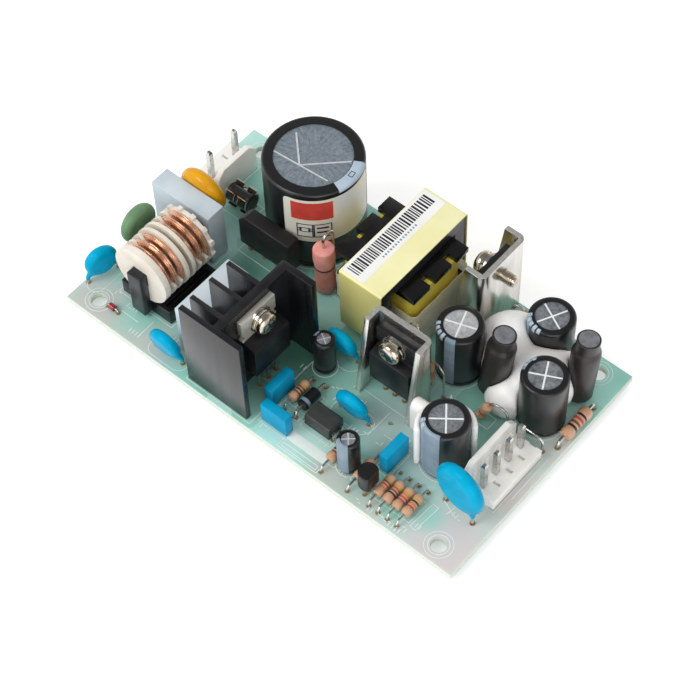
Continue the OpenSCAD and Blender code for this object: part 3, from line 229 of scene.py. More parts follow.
cut_edge = plain("sheared_sheet_edge", "B4B3AF", "98978F", 0.8, 0.5, 0.08, 0.2, 0.01,
                 Metallic=0.4)
copper = plain("enamelled_copper", "FFD4B6", "EBA880", 1.2, 0.28, 0.08, 0.3, 0.006, Metallic=1.0,
               Coat_Weight=0.6, Coat_Roughness=0.1)
print("metals ready")

# %% [markdown]
# Black anodised aluminium is an extrusion dyed black: the die leaves fine lines along its length,
# which here stands upright, and the oxide gives a grey sheen where light grazes it.

# %% Anodised extrusion
anodised = blank("black_anodised_extrusion")
anodised_ins = uneven(anodised, "0B0C0E", "131417", 3, 0.3, 0.08, 0.2, 0.012, (1, 1, 0.03))
shade(anodised, {**anodised_ins, "IOR": 1.6})

# %% [markdown]
# ## Pieces
# New shapes start in bmesh. `piece` finishes one: it merges doubles, turns the faces outward, sets
# smooth shading with sharp edges, hangs the piece on the root body and hides the CAD nodes it
# replaces.

# %% Piece helper
def unique(things):
    """Each thing once, in the order they come, so that every run builds the same mesh."""
    return list(dict.fromkeys(things))


def piece(name, bm, slot, *finishes, replaces=(), angle=35, merge=1e-6):
    bmesh.ops.remove_doubles(bm, verts=bm.verts, dist=merge)
    bmesh.ops.recalc_face_normals(bm, faces=bm.faces)
    mesh = bpy.data.meshes.new(name)
    bm.to_mesh(mesh)
    bm.free()
    for finish in finishes:
        mesh.materials.append(finish)
    mesh.shade_smooth()
    mesh.set_sharp_from_angle(angle=math.radians(angle))
    thing = bpy.data.objects.new(name, mesh)
    bpy.context.scene.collection.objects.link(thing)
    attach(thing, "root")
    if replaces:
        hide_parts(*replaces)
    print(name, "triangles", sum(len(p.vertices) - 2 for p in mesh.polygons))
    return thing


def box(node):
    """Lowest corner, highest corner and middle of a CAD node, in millimetres."""
    low, high = [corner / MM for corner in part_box(node)]
    return low, high, (low + high) / 2


def extent(points):
    """The same three of one solid, given as an array of its points."""
    low, high = points.min(0), points.max(0)
    return low, high, (low + high) / 2


def dress(finish, *names):
    for name in names:
        for holder in NODES[name].material_slots:
            holder.material = finish


# %% [markdown]
# Machined and moulded parts never have knife edges. `softened` copies a CAD node, joins its loose
# triangles into real faces and bevels each sharp edge, so that it catches a line of light.

# %% Softened copies
def rounded(bm, geom, width, segments=2, affect="EDGES"):
    """Bevel with the settings that every rounding here shares."""
    bmesh.ops.bevel(bm, geom=geom, offset=width, offset_type="OFFSET", affect=affect,
                    segments=segments, profile=0.5, material=-1, clamp_overlap=True)


def softened(node, finish, width, angle=30):
    bm = bmesh.new()
    bm.from_mesh(NODES[node].data)
    bmesh.ops.remove_doubles(bm, verts=bm.verts, dist=1e-6)
    bmesh.ops.dissolve_limit(bm, angle_limit=math.radians(0.5), verts=bm.verts, edges=bm.edges)
    sharp = [e for e in bm.edges if len(e.link_faces) == 2
             and e.calc_face_angle() > math.radians(angle)]
    rounded(bm, sharp, width * MM)
    return piece(node + "_soft", bm, node, finish, replaces=[node])


def solids(node):
    """The separate solids of a CAD node, each an array of its points, from -X to +X."""
    bm = bmesh.new()
    bm.from_mesh(NODES[node].data)
    bmesh.ops.remove_doubles(bm, verts=bm.verts, dist=1e-6)
    left, found = set(bm.verts), []
    for first in bm.verts:
        if first not in left:
            continue
        left.remove(first)
        reach, part = [first], []
        while reach:
            vert = reach.pop()
            part.append(vert.co[:])
            for edge in vert.link_edges:
                other = edge.other_vert(vert)
                if other in left:
                    left.remove(other)
                    reach.append(other)
        found.append(np.array(sorted(part)) / MM)
    bm.free()
    return sorted(found, key=lambda points: tuple(points.mean(0).round(3)))


# %% [markdown]
# Moulded and formed parts first. The widths follow the real radii: a tenth or two of a millimetre
# on plastic mouldings, less on thin sheet. The top edges of the bent sheet were cut by a shear, so
# they are rougher and paler than its rolled faces, and get a finish of their own.

# %% Soften the moulded parts
softened("ac_header_housing", nylon, 0.18)
softened("dc_header_housing", nylon, 0.18)
softened("x_capacitor_input", box_plastic, 0.22)
softened("x_capacitor_filter", box_plastic, 0.22)
softened("film_capacitors", blue_box, 0.18)
softened("bridge_rectifier", compound_worn, 0.25)
softened("optocoupler", dip_package, 0.08)
softened("small_transistor", compound, 0.12)
softened("output_rectifiers", compound, 0.15)
softened("switching_transistor_body", compound, 0.15)
softened("switching_transistor_tab", tab_plate, 0.08)
softened("choke_base", tray, 0.15)
softened("choke_core", ferrite, 0.22)
softened("transformer_core", ferrite, 0.2)
softened("transformer_bobbin", phenolic, 0.3)
softened("primary_heatsink", anodised, 0.07)
softened("choke_bobbin", bobbin_nylon, 0.16)

# %% Bent sheet with sheared edges
for node in ("output_heatsink_left", "output_heatsink_right"):
    bent = softened(node, sheet, 0.1)
    bent.data.materials.append(cut_edge)
    for face in bent.data.polygons:
        if face.normal.z > 0.95:
            face.material_index = 1

# %% Finishes for nodes that keep their mesh
dress(tinned, "component_leads", "wire_links", "header_pins", "heatsink_pins")
dress(solder, "solder_joints")
dress(rubber, "capacitor_bungs")
dress(red_glass, "signal_bead")
dress(zinc, "plain_washers")
dress(ferrite_end, "filter_choke_cores")
dress(copper, "filter_choke_windings")

# %% [markdown]
# ## Dipped coatings and sealant
# A dipped coating flows: where it runs down a lead there is no edge at all. A copy of the CAD solid
# is remeshed into an even skin, and its points are smoothed a few times so that the joins run
# together. The same treatment turns the sealant's overlapping lumps into one soft blob.

# %% Flowed skins
def flowed(node, finish, voxel, passes):
    rough = bpy.data.objects.new("rough", NODES[node].data.copy())
    bpy.context.scene.collection.objects.link(rough)
    skin = rough.modifiers.new("skin", "REMESH")
    skin.mode = "VOXEL"
    skin.voxel_size = voxel * MM
    bpy.context.view_layer.update()
    ready = rough.evaluated_get(bpy.context.evaluated_depsgraph_get())
    bm = bmesh.new()
    bm.from_mesh(ready.to_mesh())
    ready.to_mesh_clear()
    bpy.data.objects.remove(rough)
    for step in range(passes):
        bmesh.ops.smooth_vert(bm, verts=bm.verts, factor=0.5, use_axis_x=True, use_axis_y=True,
                              use_axis_z=True)
    return piece(node + "_flowed", bm, node, finish, replaces=[node], angle=180)


flowed("y_capacitors", cyan_dip, 0.2, 6)
flowed("y_capacitor_output", cyan_dip, 0.25, 7)
flowed("varistor", amber_dip, 0.25, 7)
flowed("inrush_thermistor", green_dip, 0.25, 5)
flowed("silicone_adhesive", sealant, 0.4, 12)

# %% [markdown]
# ## Turned shapes
# Capacitor sleeves, resistor bodies, screws and coils are all outlines turned about an axis, which
# is Blender's spin. `turned` takes an outline of (radius, height) in millimetres and a matrix that
# says where it stands. A closed outline turned part of the way makes a curved plate with its ends
# shut, which is how stripes and labels are laid on a sleeve.

# %% Turning
def turned(bm, outline, at, sweep=360, start=0, steps=64, closed=False, paint=0):
    old = set(bm.verts)
    seen = set(bm.faces)
    first = Matrix.Rotation(math.radians(start), 4, "Z")
    verts = [bm.verts.new(first @ Vector((r, 0, z))) for r, z in outline]
    edges = [bm.edges.new(pair) for pair in zip(verts, verts[1:])]
    geom = verts + edges
    if closed:
        geom.append(bm.edges.new((verts[-1], verts[0])))
        if sweep < 360:
            geom.append(bm.faces.new(verts))
    bmesh.ops.spin(bm, geom=geom, cent=(0, 0, 0), axis=(0, 0, 1), angle=math.radians(sweep),
                   steps=steps, use_merge=sweep == 360)
    for face in bm.faces:
        if face not in seen:
            mid = face.calc_center_median()
            face.material_index = paint(mid.z) if callable(paint) else paint
    bmesh.ops.transform(bm, matrix=at @ Matrix.Scale(MM, 4),
                        verts=[v for v in bm.verts if v not in old])


def standing(x, y, z=0.0):
    return Matrix.Translation((x * MM, y * MM, z * MM))


# %% [markdown]
# ## Printed sleeves
# A shrink sleeve is a thin skin of PVC: nearly black, semi gloss, drawn tight over the can's rounded
# shoulder, with slight ripples where it shrank. The print on it is a separate thin layer of ink.

# %% Sleeve and ink finishes
sleeve_black = plain("pvc_sleeve_black", "151618", "0B0C0D", 4, 0.36, 0.06, 1.6, 0.02,
                     (1, 1, 0.25), Coat_Weight=0.15, Coat_Roughness=0.15)
sleeve_brown = plain("pvc_sleeve_brown", "2A2423", "1E1918", 3, 0.42, 0.06, 1.4, 0.03,
                     (1, 1, 0.3), Coat_Weight=0.1, Coat_Roughness=0.2)
ink_stripe = plain("ink_grey_blue", "8698A6", "76889A", 3, 0.32, 0.05, 0.8, 0.01)
ink_pale = plain("ink_pale_blue", "B4C4D2", "A4B5C4", 3, 0.32, 0.05, 0.8, 0.01)
ink_panel = plain("ink_ivory_panel", "DADEDF", "E6DFC4", 7, 0.34, 0.05, 0.8, 0.01)
ink_red = plain("ink_red", "D0483C", "BE3A30", 3, 0.34, 0.05, 0.8, 0.01)
ink_dark = plain("ink_dark", "1E2630", "141A22", 2, 0.4, 0.05, 0.6, 0.01)


# %% Sleeve outline
def skin(radius, low, high, lap, lift):
    """Outside of a sleeve from its foot, round the shoulder and in to the lap, lifted by lift."""
    bend = 0.75 + lift
    arc = [(radius - 0.75 + bend * math.cos(a), high - 0.75 + bend * math.sin(a))
           for a in np.radians(np.arange(0, 91, 15))]
    return [(radius + lift, low), *arc, (lap, high + lift)]


def sleeve(bm, points, lap):
    """A sleeve over the CAD sleeve of the same size. Returns its middle, radius and heights."""
    low, high, mid = extent(points)
    radius, foot, top = (high[0] - low[0]) / 2, low[2], high[2]
    outer = [(radius - 0.12, foot), (radius - 0.02, foot + 0.25), (radius - 0.02, foot + 0.9),
             (radius - 0.16, foot + 1.15), (radius, foot + 1.45)] + skin(
                 radius, top - 3.0, top, lap, 0)
    inner = [(lap, top - 0.22), (radius - 0.95, top - 0.22), (radius - 0.24, top - 0.95),
             (radius - 0.24, foot)]
    turned(bm, outer + inner, standing(mid[0], mid[1]), closed=True)
    return mid, radius, foot, top


def stripe(bm, mid, radius, low, top, lap, start, sweep, paint=0, lift=0.035):
    """Ink laid on the sleeve from height low, over the shoulder, in to radius lap."""
    outer = skin(radius, low, top, lap, lift)
    inner = skin(radius, low, top, lap, 0.004)
    turned(bm, outer + inner[::-1], standing(mid[0], mid[1]), sweep=sweep, start=start,
           steps=max(4, int(abs(sweep) / 6)), closed=True, paint=paint)


# %% [markdown]
# The four output capacitors carry a grey-blue stripe down the side of their negative lead. Where the
# print runs onto the shoulder it breaks into short teeth, because the sleeve is gathered there.

# %% Output capacitor sleeves
can_points = solids("output_capacitor_sleeves")
sleeves = bmesh.new()
ink = bmesh.new()
stripe_at = [(-92, 27), (-140, 74), (-150, 30), (150, 52)]
teeth_at = [(-150, 58), (-142, 40), (-150, 70), (154, 54)]
for points, side, teeth in zip(can_points, stripe_at, teeth_at):
    mid, radius, foot, top = sleeve(sleeves, points, 3.55)
    stripe(ink, mid, radius, foot + 0.6, top, 4.5, side[0], side[1])
    for k in range(int(teeth[1] / 14)):
        stripe(ink, mid, radius, top - 0.75 - 0.5 * (k % 2), top, 4.05 + 0.2 * (k % 3),
               teeth[0] + 14 * k, 9.5, paint=1, lift=0.045)
print("capacitor stands at", [tuple(p.mean(0)[:2].round(1)) for p in can_points])
piece("output_sleeves", sleeves, "output_capacitor_sleeves", sleeve_black,
      replaces=["output_capacitor_sleeves"])
piece("output_sleeve_print", ink, "output_capacitor_sleeves", ink_stripe, ink_pale)

# %% [markdown]
# The two small capacitors are the same in little. One of them shows a broad pale stripe.

# %% Small capacitor sleeves
small_sleeves = bmesh.new()
small_ink = bmesh.new()
for points, side in zip(solids("small_capacitor_sleeves"), [(160, 40), (-140, 88)]):
    mid, radius, foot, top = sleeve(small_sleeves, points, 1.75)
    stripe(small_ink, mid, radius, foot + 0.5, top, 2.0, side[0], side[1])
piece("small_sleeves", small_sleeves, "small_capacitor_sleeves", sleeve_black,
      replaces=["small_capacitor_sleeves"])
piece("small_sleeve_print", small_ink, "small_capacitor_sleeves", ink_stripe)

# %% [markdown]
# ## Flat print
# Print that isn't a plain stripe starts as a flat patch: a one-face grid whose corners are rounded
# by a vertex bevel, and which an inset can turn into an outline. Bisecting it into strips lets it
# bend round a capacitor.

# %% Patches
def patch(bm, width, height, corner=0.0, line=0.0):
    """A flat patch about the origin, in mm, solid or as an outline of the width given by line."""
    old, seen = set(bm.verts), set(bm.faces)
    bmesh.ops.create_grid(bm, x_segments=1, y_segments=1, size=0.5,
                          matrix=Matrix.Diagonal((width, height, 1, 1)))
    if corner:
        rounded(bm, [v for v in bm.verts if v not in old], corner, 5, "VERTICES")
    if line:
        inner = [f for f in bm.faces if f not in seen]
        bmesh.ops.inset_region(bm, faces=inner, thickness=line, use_boundary=True,
                               use_even_offset=True)
        bmesh.ops.delete(bm, geom=inner, context="FACES")
    return [v for v in bm.verts if v not in old], [f for f in bm.faces if f not in seen]


def lay(bm, verts, x, y, z, turn=0.0):
    """Put a patch down flat at a place on the board, turned about its middle."""
    bmesh.ops.transform(bm, verts=verts, matrix=standing(x, y, z) @ Matrix.Rotation(
        math.radians(turn), 4, "Z") @ Matrix.Scale(MM, 4))


def mark(bm, size, at, turn=0.0, corner=0.0, line=0.0, paint=0):
    """A patch of a size laid at a place and given its ink, in one call."""
    verts, faces = patch(bm, *size, corner, line)
    lay(bm, verts, *at, turn)
    for face in faces:
        face.material_index = paint


def wrap(bm, verts, faces, mid, radius, angle, height, width, thick, paint=0):
    """Cut a patch into strips, bend it round an upright cylinder and give it its thickness."""
    geom = list(verts) + list(faces) + unique(e for f in faces for e in f.edges)
    for cut in np.arange(-width / 2, width / 2, 1.0)[1:]:
        cutting = bmesh.ops.bisect_plane(bm, geom=geom, plane_co=(cut, 0, 0), plane_no=(1, 0, 0))
        geom = cutting["geom"]
    verts = [g for g in geom if isinstance(g, bmesh.types.BMVert)]
    faces = [g for g in geom if isinstance(g, bmesh.types.BMFace)]
    for vert in verts:
        turn = math.radians(angle) + vert.co.x / radius
        vert.co = Vector((mid[0] + radius * math.cos(turn), mid[1] + radius * math.sin(turn),
                          height + vert.co.y)) * MM
    for face in faces:
        face.material_index = paint
    bmesh.ops.recalc_face_normals(bm, faces=faces)
    bmesh.ops.solidify(bm, geom=faces, thickness=thick * MM)


# %% [markdown]
# The mains capacitor has a black sleeve with a pale label panel that faces the front. On it stand a
# plain red field and two plain outlined boxes; a light stripe laps over the shoulder beside it.

# %% Mains capacitor sleeve
bulk_points = solids("bulk_capacitor_sleeve")[0]
bulk_sleeve = bmesh.new()
mid, radius, foot, top = sleeve(bulk_sleeve, bulk_points, 8.5)
piece("bulk_sleeve", bulk_sleeve, "bulk_capacitor_sleeve", sleeve_black,
      replaces=["bulk_capacitor_sleeve"])

label = bmesh.new()
panel_wide = 22.0
parts = [  # width, height, corner, line, angle, height of the middle, lift, finish
    (panel_wide, 13.7, 1.2, 0.0, -27.3, 17.85, 0.03, 1),
    (9.1, 5.6, 0.2, 0.0, -51.8, 21.1, 0.06, 2),
    (3.6, 4.4, 0.15, 0.26, -60.5, 14.7, 0.06, 3),
    (4.0, 4.4, 0.15, 0.26, -40.5, 14.7, 0.06, 3),
    (1.9, 1.5, 0.1, 0.22, -60.5, 15.0, 0.06, 3),
    (2.6, 0.5, 0.1, 0.0, -40.5, 15.6, 0.06, 3),
    (2.6, 0.5, 0.1, 0.0, -40.5, 14.2, 0.06, 3)]
for wide, tall, corner, line, angle, height, lift, paint in parts:
    verts, faces = patch(label, wide, tall, corner, line)
    wrap(label, verts, faces, mid, radius + lift, angle, height, wide, 0.02, paint)
stripe(label, mid, radius, top - 0.8, top, 8.6, -20, 49)
mark(label, (1.5, 1.1), (mid[0] + 9.6 * math.cos(0.12), mid[1] + 9.6 * math.sin(0.12), top + 0.05),
     97, line=0.16, paint=3)
piece("bulk_print", label, "bulk_capacitor_sleeve", ink_pale, ink_panel, ink_red, ink_dark)
print("mains capacitor", mid.round(2), radius, foot, top)

# %% [markdown]
# ## Capacitor can ends
# The aluminium shows inside the lap of each sleeve. On the big can the end is brushed outward from
# its middle, so the finish reads the angle round the can and stretches noise along the radius. One
# of the output cans gets paler tones, a painted highlight, which a test of distance from its top
# picks out.

# %% Can ends
def can_end(name, light, dark, middle, rough, painted_highlight_at=None):
    finish = blank(name)
    place = add(finish, "TexCoord").outputs["Object"]
    centred = add(finish, "Mapping", {"Vector": place,
                                      "Location": (-middle[0] * MM, -middle[1] * MM, 0)})
    axes = add(finish, "SeparateXYZ", {0: centred.outputs[0]})
    around = add(finish, "Math", {0: axes.outputs[1], 1: axes.outputs[0]}, operation="ARCTAN2")
    flat = add(finish, "CombineXYZ", {0: axes.outputs[0], 1: axes.outputs[1]})
    reach = add(finish, "VectorMath", {0: flat.outputs[0]}, operation="LENGTH")
    far = add(finish, "Math", {0: reach.outputs["Value"], 1: 28.0}, operation="MULTIPLY")
    ray = add(finish, "CombineXYZ", {0: around.outputs[0], 1: far.outputs[0]})
    streak = add(finish, "TexNoise", {"Vector": ray.outputs[0], "Scale": 11.0, "Detail": 6,
                                      "Roughness": 0.75})
    speck = add(finish, "TexNoise", {"Vector": place, "Scale": 1000 / 0.7, "Detail": 3})
    fine = add(finish, "Math", {0: speck.outputs[0], 1: 0.45, 2: streak.outputs[0]},
               operation="MULTIPLY_ADD")
    level = add(finish, "MapRange", {"Value": fine.outputs[0], "From Min": 0.5, "From Max": 0.94})
    tone = add(finish, "Mix", {0: level.outputs[0], 6: linear(dark), 7: linear(light)},
               data_type="RGBA").outputs[2]
    # Near that point the end takes paler tones, a painted highlight.
    if painted_highlight_at is not None:
        away = add(finish, "VectorMath", {0: place, 1: (painted_highlight_at[0] * MM, painted_highlight_at[1] * MM, painted_highlight_at[2] * MM)},
                   operation="DISTANCE")
        near = add(finish, "Math", {0: away.outputs["Value"], 1: 6 * MM}, operation="LESS_THAN")
        pale = add(finish, "Mix", {0: level.outputs[0], 6: linear("A4A8AA"), 7: linear("E6E7E6")},
                   data_type="RGBA")
        tone = add(finish, "Mix", {0: near.outputs[0], 6: tone, 7: pale.outputs[2]},
                   data_type="RGBA").outputs[2]
    dull = add(finish, "MapRange", {"Value": level.outputs[0], "To Min": rough + 0.1,
                                    "To Max": rough - 0.05})
    bump = add(finish, "Bump", {"Height": streak.outputs[0], "Distance": 0.015 * MM})
    return shade(finish, {"Base Color": tone, "Roughness": dull.outputs[0], "Metallic": 0.5,
                          "Normal": bump.outputs[0]})


bulk_mid = bulk_points.mean(0)
out_mid = can_points[1].mean(0)
# The first output can's end gets a painted highlight.
painted_highlight_can = (*can_points[0].mean(0)[:2], can_points[0].max(0)[2])
dress(can_end("drawn_can_bulk", "A2ADB6", "66727B", bulk_mid, 0.5), "bulk_capacitor_can")
out_finish = can_end("drawn_can_output", "ABB0B5", "4C5258", out_mid, 0.4, painted_highlight_can)
small_finish = can_end("drawn_can_small", "B9BDC1", "4C5258", out_mid, 0.4)

# %% [markdown]
# The scored vent lines are bare, freshly cut metal, paler than the can end. Each is laid over its
# groove as a hair-thin near-white strip, which also carries a painted highlight: three on the big
# can, a cross on each small one.

# %% Vent lines
# Both finishes are near-white: paler cut metal, with a painted highlight along each groove.
score = plain("scored_aluminium", "F4F6F7", "E2E5E7", 1, 0.4, 0.06, 0.3, 0.01, Metallic=0.1)
score_dull = plain("scored_aluminium_dull", "D0D4D8", "B6BBC0", 1, 0.4, 0.06, 0.3, 0.01,
                   Metallic=0.1)


def scores(name, cans, ends, width, finish):
    bm = bmesh.new()
    for points, lines_of_can in zip(cans, ends):
        top = points.max(0)[2]
        for k, (x0, y0, x1, y1) in enumerate(lines_of_can):
            middle = (points.mean(0)[0] + (x0 + x1) / 2, points.mean(0)[1] + (y0 + y1) / 2)
            mark(bm, (math.hypot(x1 - x0, y1 - y0), width), (*middle, top + 0.012 + 0.004 * k),
                 math.degrees(math.atan2(y1 - y0, x1 - x0)))
    piece(name + "_vent_lines", bm, name, finish)


def crossed(reach, turn):
    return [[-reach * math.cos(t), -reach * math.sin(t), reach * math.cos(t), reach * math.sin(t)]
            for t in (math.radians(turn), math.radians(turn + 90))]


scores("bulk_capacitor_can", solids("bulk_capacitor_can"),
       [[[-7.3, -4.1, 6.7, -3.1], [-0.6, -3.6, -6.9, 2.6], [-0.6, -3.6, 7.2, 4.0]]], 0.42, score_dull)
scores("output_capacitor_cans", solids("output_capacitor_cans"),
       [crossed(3.45, turn) for turn in (19, 38, 63, 27)], 0.36, score)
scores("small_capacitor_cans", solids("small_capacitor_cans"),
       [crossed(1.5, turn) for turn in (58, 42)], 0.22, score_dull)

# %% Small can ends
for name, reach, finish in (("output_capacitor_cans", 4.7, out_finish),
                            ("small_capacitor_cans", 2.1, small_finish)):
    ends = bmesh.new()
    for points in solids(name):
        low, high, mid = extent(points)
        turned(ends, [(0, high[2]), (reach * 0.8, high[2]), (reach * 0.95, high[2] - 0.12),
                      (reach, high[2] - 0.5), (reach, low[2]), (0, low[2])],
               standing(mid[0], mid[1]), steps=48)
    piece(name + "_drawn", ends, name, finish, replaces=[name])

# %% [markdown]
# ## Resistors
# A carbon film resistor has a dumb-bell body, because metal caps are pressed over the rod's ends
# before it is lacquered. Its value is given by colour rings. The body is turned in one go with a cut
# at each ring, and faces between two cuts take the ring's finish.

# %% Resistor finishes
lacquer = plain("beige_lacquer", "D2A484", "BE8E6E", 1.2, 0.28, 0.05, 0.5, 0.015,
                Coat_Weight=0.5, Coat_Roughness=0.12)
ring_names = {"brown": "7A4A34", "black": "2A2322", "red": "B84A38", "orange": "D8713C",
              "gold": "B8964E"}
ring_paints = [plain("ring_" + name, code, code, 1, 0.32, 0.05, 0.5, 0.01)
               for name, code in ring_names.items()]


# %% Resistor bodies
def resistor(bm, points, rings, radius, edges):
    """Turn a body along the longest axis of a CAD resistor; rings lists a paint for each gap."""
    spread = points - points.mean(0)
    axis = np.linalg.svd(spread, full_matrices=False)[2][0]
    axis = axis * np.sign(axis[np.abs(axis).argmax()])
    along = spread @ axis
    half = (along.max() - along.min()) / 2
    mid = points.mean(0) + axis * (along.max() + along.min()) / 2
    cap = 1.25 * radius
    shape = [(0, -half), (radius * 0.5, -half), (radius * 0.85, -half + 0.12),
             (radius * 0.98, -half + 0.4 * cap), (radius, -half + 0.6 * cap),
             (radius * 0.95, -half + 0.85 * cap), (radius * 0.86, -half + 1.1 * cap)]
    waist = [(radius * 0.85, z) for pair in edges for z in pair]
    outline = shape + waist + [(r, -z) for r, z in reversed(shape)]

    def paint(z):
        for (a, b), ring in zip(edges, rings):
            if a < z < b:
                return ring
        return 0
    turn = Vector(axis).to_track_quat("Z", "Y").to_matrix().to_4x4()
    turned(bm, outline, standing(*mid) @ turn, steps=28, paint=paint)


bodies = bmesh.new()
small_rings = [(-1.0, -0.62), (-0.3, 0.08), (0.4, 0.78), (0.95, 1.2)]
codes = [(1, 2, 1, 5), (1, 2, 3, 5), (4, 4, 3, 5), (1, 2, 2, 5), (3, 1, 2, 5), (4, 3, 1, 5),
         (2, 1, 3, 5), (3, 3, 4, 5), (4, 2, 4, 5), (3, 4, 2, 5)]
for points, rings in zip(solids("resistors"), codes):
    resistor(bodies, points, rings, 1.15, small_rings)
piece("resistor_bodies", bodies, "resistors", lacquer, *ring_paints, replaces=["resistors"])

edge_body = bmesh.new()
resistor(edge_body, solids("edge_resistor")[0], (2, 1, 3, 2), 1.5,
         [(-1.9, -1.3), (-0.8, -0.2), (0.3, 0.9), (1.4, 2.0)])
piece("edge_resistor_body", edge_body, "edge_resistor", lacquer, *ring_paints,
      replaces=["edge_resistor"])

# %% [markdown]
# The power resistor stands on end under a flameproof salmon paint. It too has end caps, and a dark
# ring round its body. Below the ring the paint is a darker brown, which is painted shade.

# %% Power resistor
power_low, power_high, power_mid = box("power_resistor")
tall = power_high.z - power_low.z
thick = (power_high.x - power_low.x) / 2
power_shape = [(0, 0), (thick * 0.7, 0), (thick * 0.92, 0.2), (thick, 0.6), (thick, 3.4),
               (thick * 0.95, 3.9), (thick * 0.9, 4.3), (thick * 0.9, tall * 0.57),
               (thick * 0.93, tall * 0.572), (thick * 0.93, tall * 0.6),
               (thick * 0.9, tall * 0.602), (thick * 0.91, tall - 4.6), (thick * 0.97, tall - 4.2),
               (thick, tall - 3.6), (thick, tall - 0.7), (thick * 0.92, tall - 0.25),
               (thick * 0.7, tall), (0, tall)]
power_body = bmesh.new()
# Faces below the ring take the darker brown, which is painted shade.
turned(power_body, power_shape, standing(power_mid.x, power_mid.y, power_low.z), steps=48,
       paint=lambda z: 2 if z < tall * 0.57 else 1 if z < tall * 0.602 else 0)
piece("power_resistor_body", power_body, "power_resistor", salmon, scorched, salmon_painted_shade,
      replaces=["power_resistor"])

# %% Diode
diode_low, diode_high, diode_mid = box("diode")
half, r = (diode_high.y - diode_low.y) / 2, (diode_high.x - diode_low.x) / 2
diode_body = bmesh.new()
turned(diode_body, [(0, -half), (r * 0.8, -half), (r, -half + 0.25), (r, half - 1.5),
                    (r, half - 0.7), (r, half - 0.25), (r * 0.8, half), (0, half)],
       standing(*diode_mid) @ Matrix.Rotation(math.radians(90), 4, "X"), steps=32,
       paint=lambda z: 1 if half - 1.5 < z < half - 0.7 else 0)
piece("diode_body", diode_body, "diode", compound, ink_stripe, replaces=["diode"])

# %% [markdown]
# ## Wound copper
# Each chamber of the line choke holds many turns of enamelled wire. Only the outer layers show, so
# a solid core of copper is turned under them and real strands are laid on it: spin with a small
# step along its axis makes a helix. A second strand crosses back over the first, as the winder does.

# %% Strands
def strand(bm, radius, wire, rise, turns, at, start=0.0, steps=40):
    old = set(bm.verts)
    turn0 = Matrix.Rotation(math.radians(start), 4, "Z")
    place = turn0 @ Matrix.Translation((radius, 0, 0)) @ Matrix.Rotation(math.radians(90), 4, "X")
    disc = bmesh.ops.create_circle(bm, cap_ends=True, radius=wire, segments=8, matrix=place)
    ring = disc["verts"]
    faces = unique(f for v in ring for f in v.link_faces)
    edges = unique(e for v in ring for e in v.link_edges)
    count = int(steps * abs(turns))
    bmesh.ops.spin(bm, geom=ring + edges + faces, cent=(0, 0, 0), axis=(0, 0, 1),
                   dvec=(0, 0, rise / steps), angle=math.radians(360 * turns), steps=count)
    bmesh.ops.transform(bm, matrix=at @ Matrix.Scale(MM, 4),
                        verts=[v for v in bm.verts if v not in old])


# %% Line choke windings
chambers = sorted(solids("choke_windings"), key=lambda p: p[:, 1].mean())
coil = bmesh.new()
for k, points in enumerate(chambers):
    low, high, mid = extent(points)
    wide, outer = high[1] - low[1], (high[0] - low[0]) / 2
    at = standing(*mid) @ Matrix.Rotation(math.radians(-90), 4, "X")
    turned(coil, [(3.6, -wide / 2 + 0.02), (outer - 0.42, -wide / 2 + 0.02),
                  (outer - 0.42, wide / 2 - 0.02), (3.6, wide / 2 - 0.02)], at, closed=True,
           steps=48)
    wire = 0.2
    rise = (wide - 2 * wire) / 2.2
    at_low = at @ Matrix.Translation((0, 0, (-wide / 2 + wire) * MM))
    at_high = at @ Matrix.Translation((0, 0, (wide / 2 - wire) * MM))
    strand(coil, outer - 0.3, wire, rise, 2.2, at_low, 40 * k)
    strand(coil, outer - 0.12, wire, -rise * 1.2, 1.55, at_high, 200 + 65 * k)
piece("choke_copper", coil, "choke_windings", copper, replaces=["choke_windings"], angle=50,
      merge=1e-8)

# %% [markdown]
# ## Filter choke sleeves
# The two rod chokes are dipped in brown shrink sleeve, which necks in above the winding and leaves a
# rolled lip round the grey ferrite end. They lean, so each sleeve is turned about the rod's axis.

# %% Filter choke sleeves
rods = solids("filter_choke_cores")
choke_skin = bmesh.new()
for points in rods:
    split = (points[:, 2].max() + points[:, 2].min()) / 2
    ends = [points[points[:, 2] > split], points[points[:, 2] < split]]
    head, heel = [(end.min(0) + end.max(0)) / 2 for end in ends]
    length = np.linalg.norm(head - heel)
    axis = (head - heel) / length
    turn = Vector(axis).to_track_quat("Z", "Y").to_matrix().to_4x4()
    h = length
    outline = [(2.86, 0.35), (3.0, 0.32), (3.1, 0.5), (3.1, h * 0.4), (3.07, h * 0.55),
               (3.1, h - 4.4), (3.02, h - 3.95), (2.75, h - 3.35), (2.53, h - 2.9),
               (2.5, h - 2.5), (2.48, h - 0.5), (2.5, h - 0.12), (2.4, h + 0.0),
               (2.24, h + 0.02), (2.12, h + 0.01), (2.26, h - 0.4), (2.26, h - 3.0),
               (2.86, h - 4.2)]
    turned(choke_skin, outline, standing(*heel) @ turn, closed=True, steps=48)
piece("filter_choke_skins", choke_skin, "filter_choke_sleeves", sleeve_brown,
      replaces=["filter_choke_sleeves"])
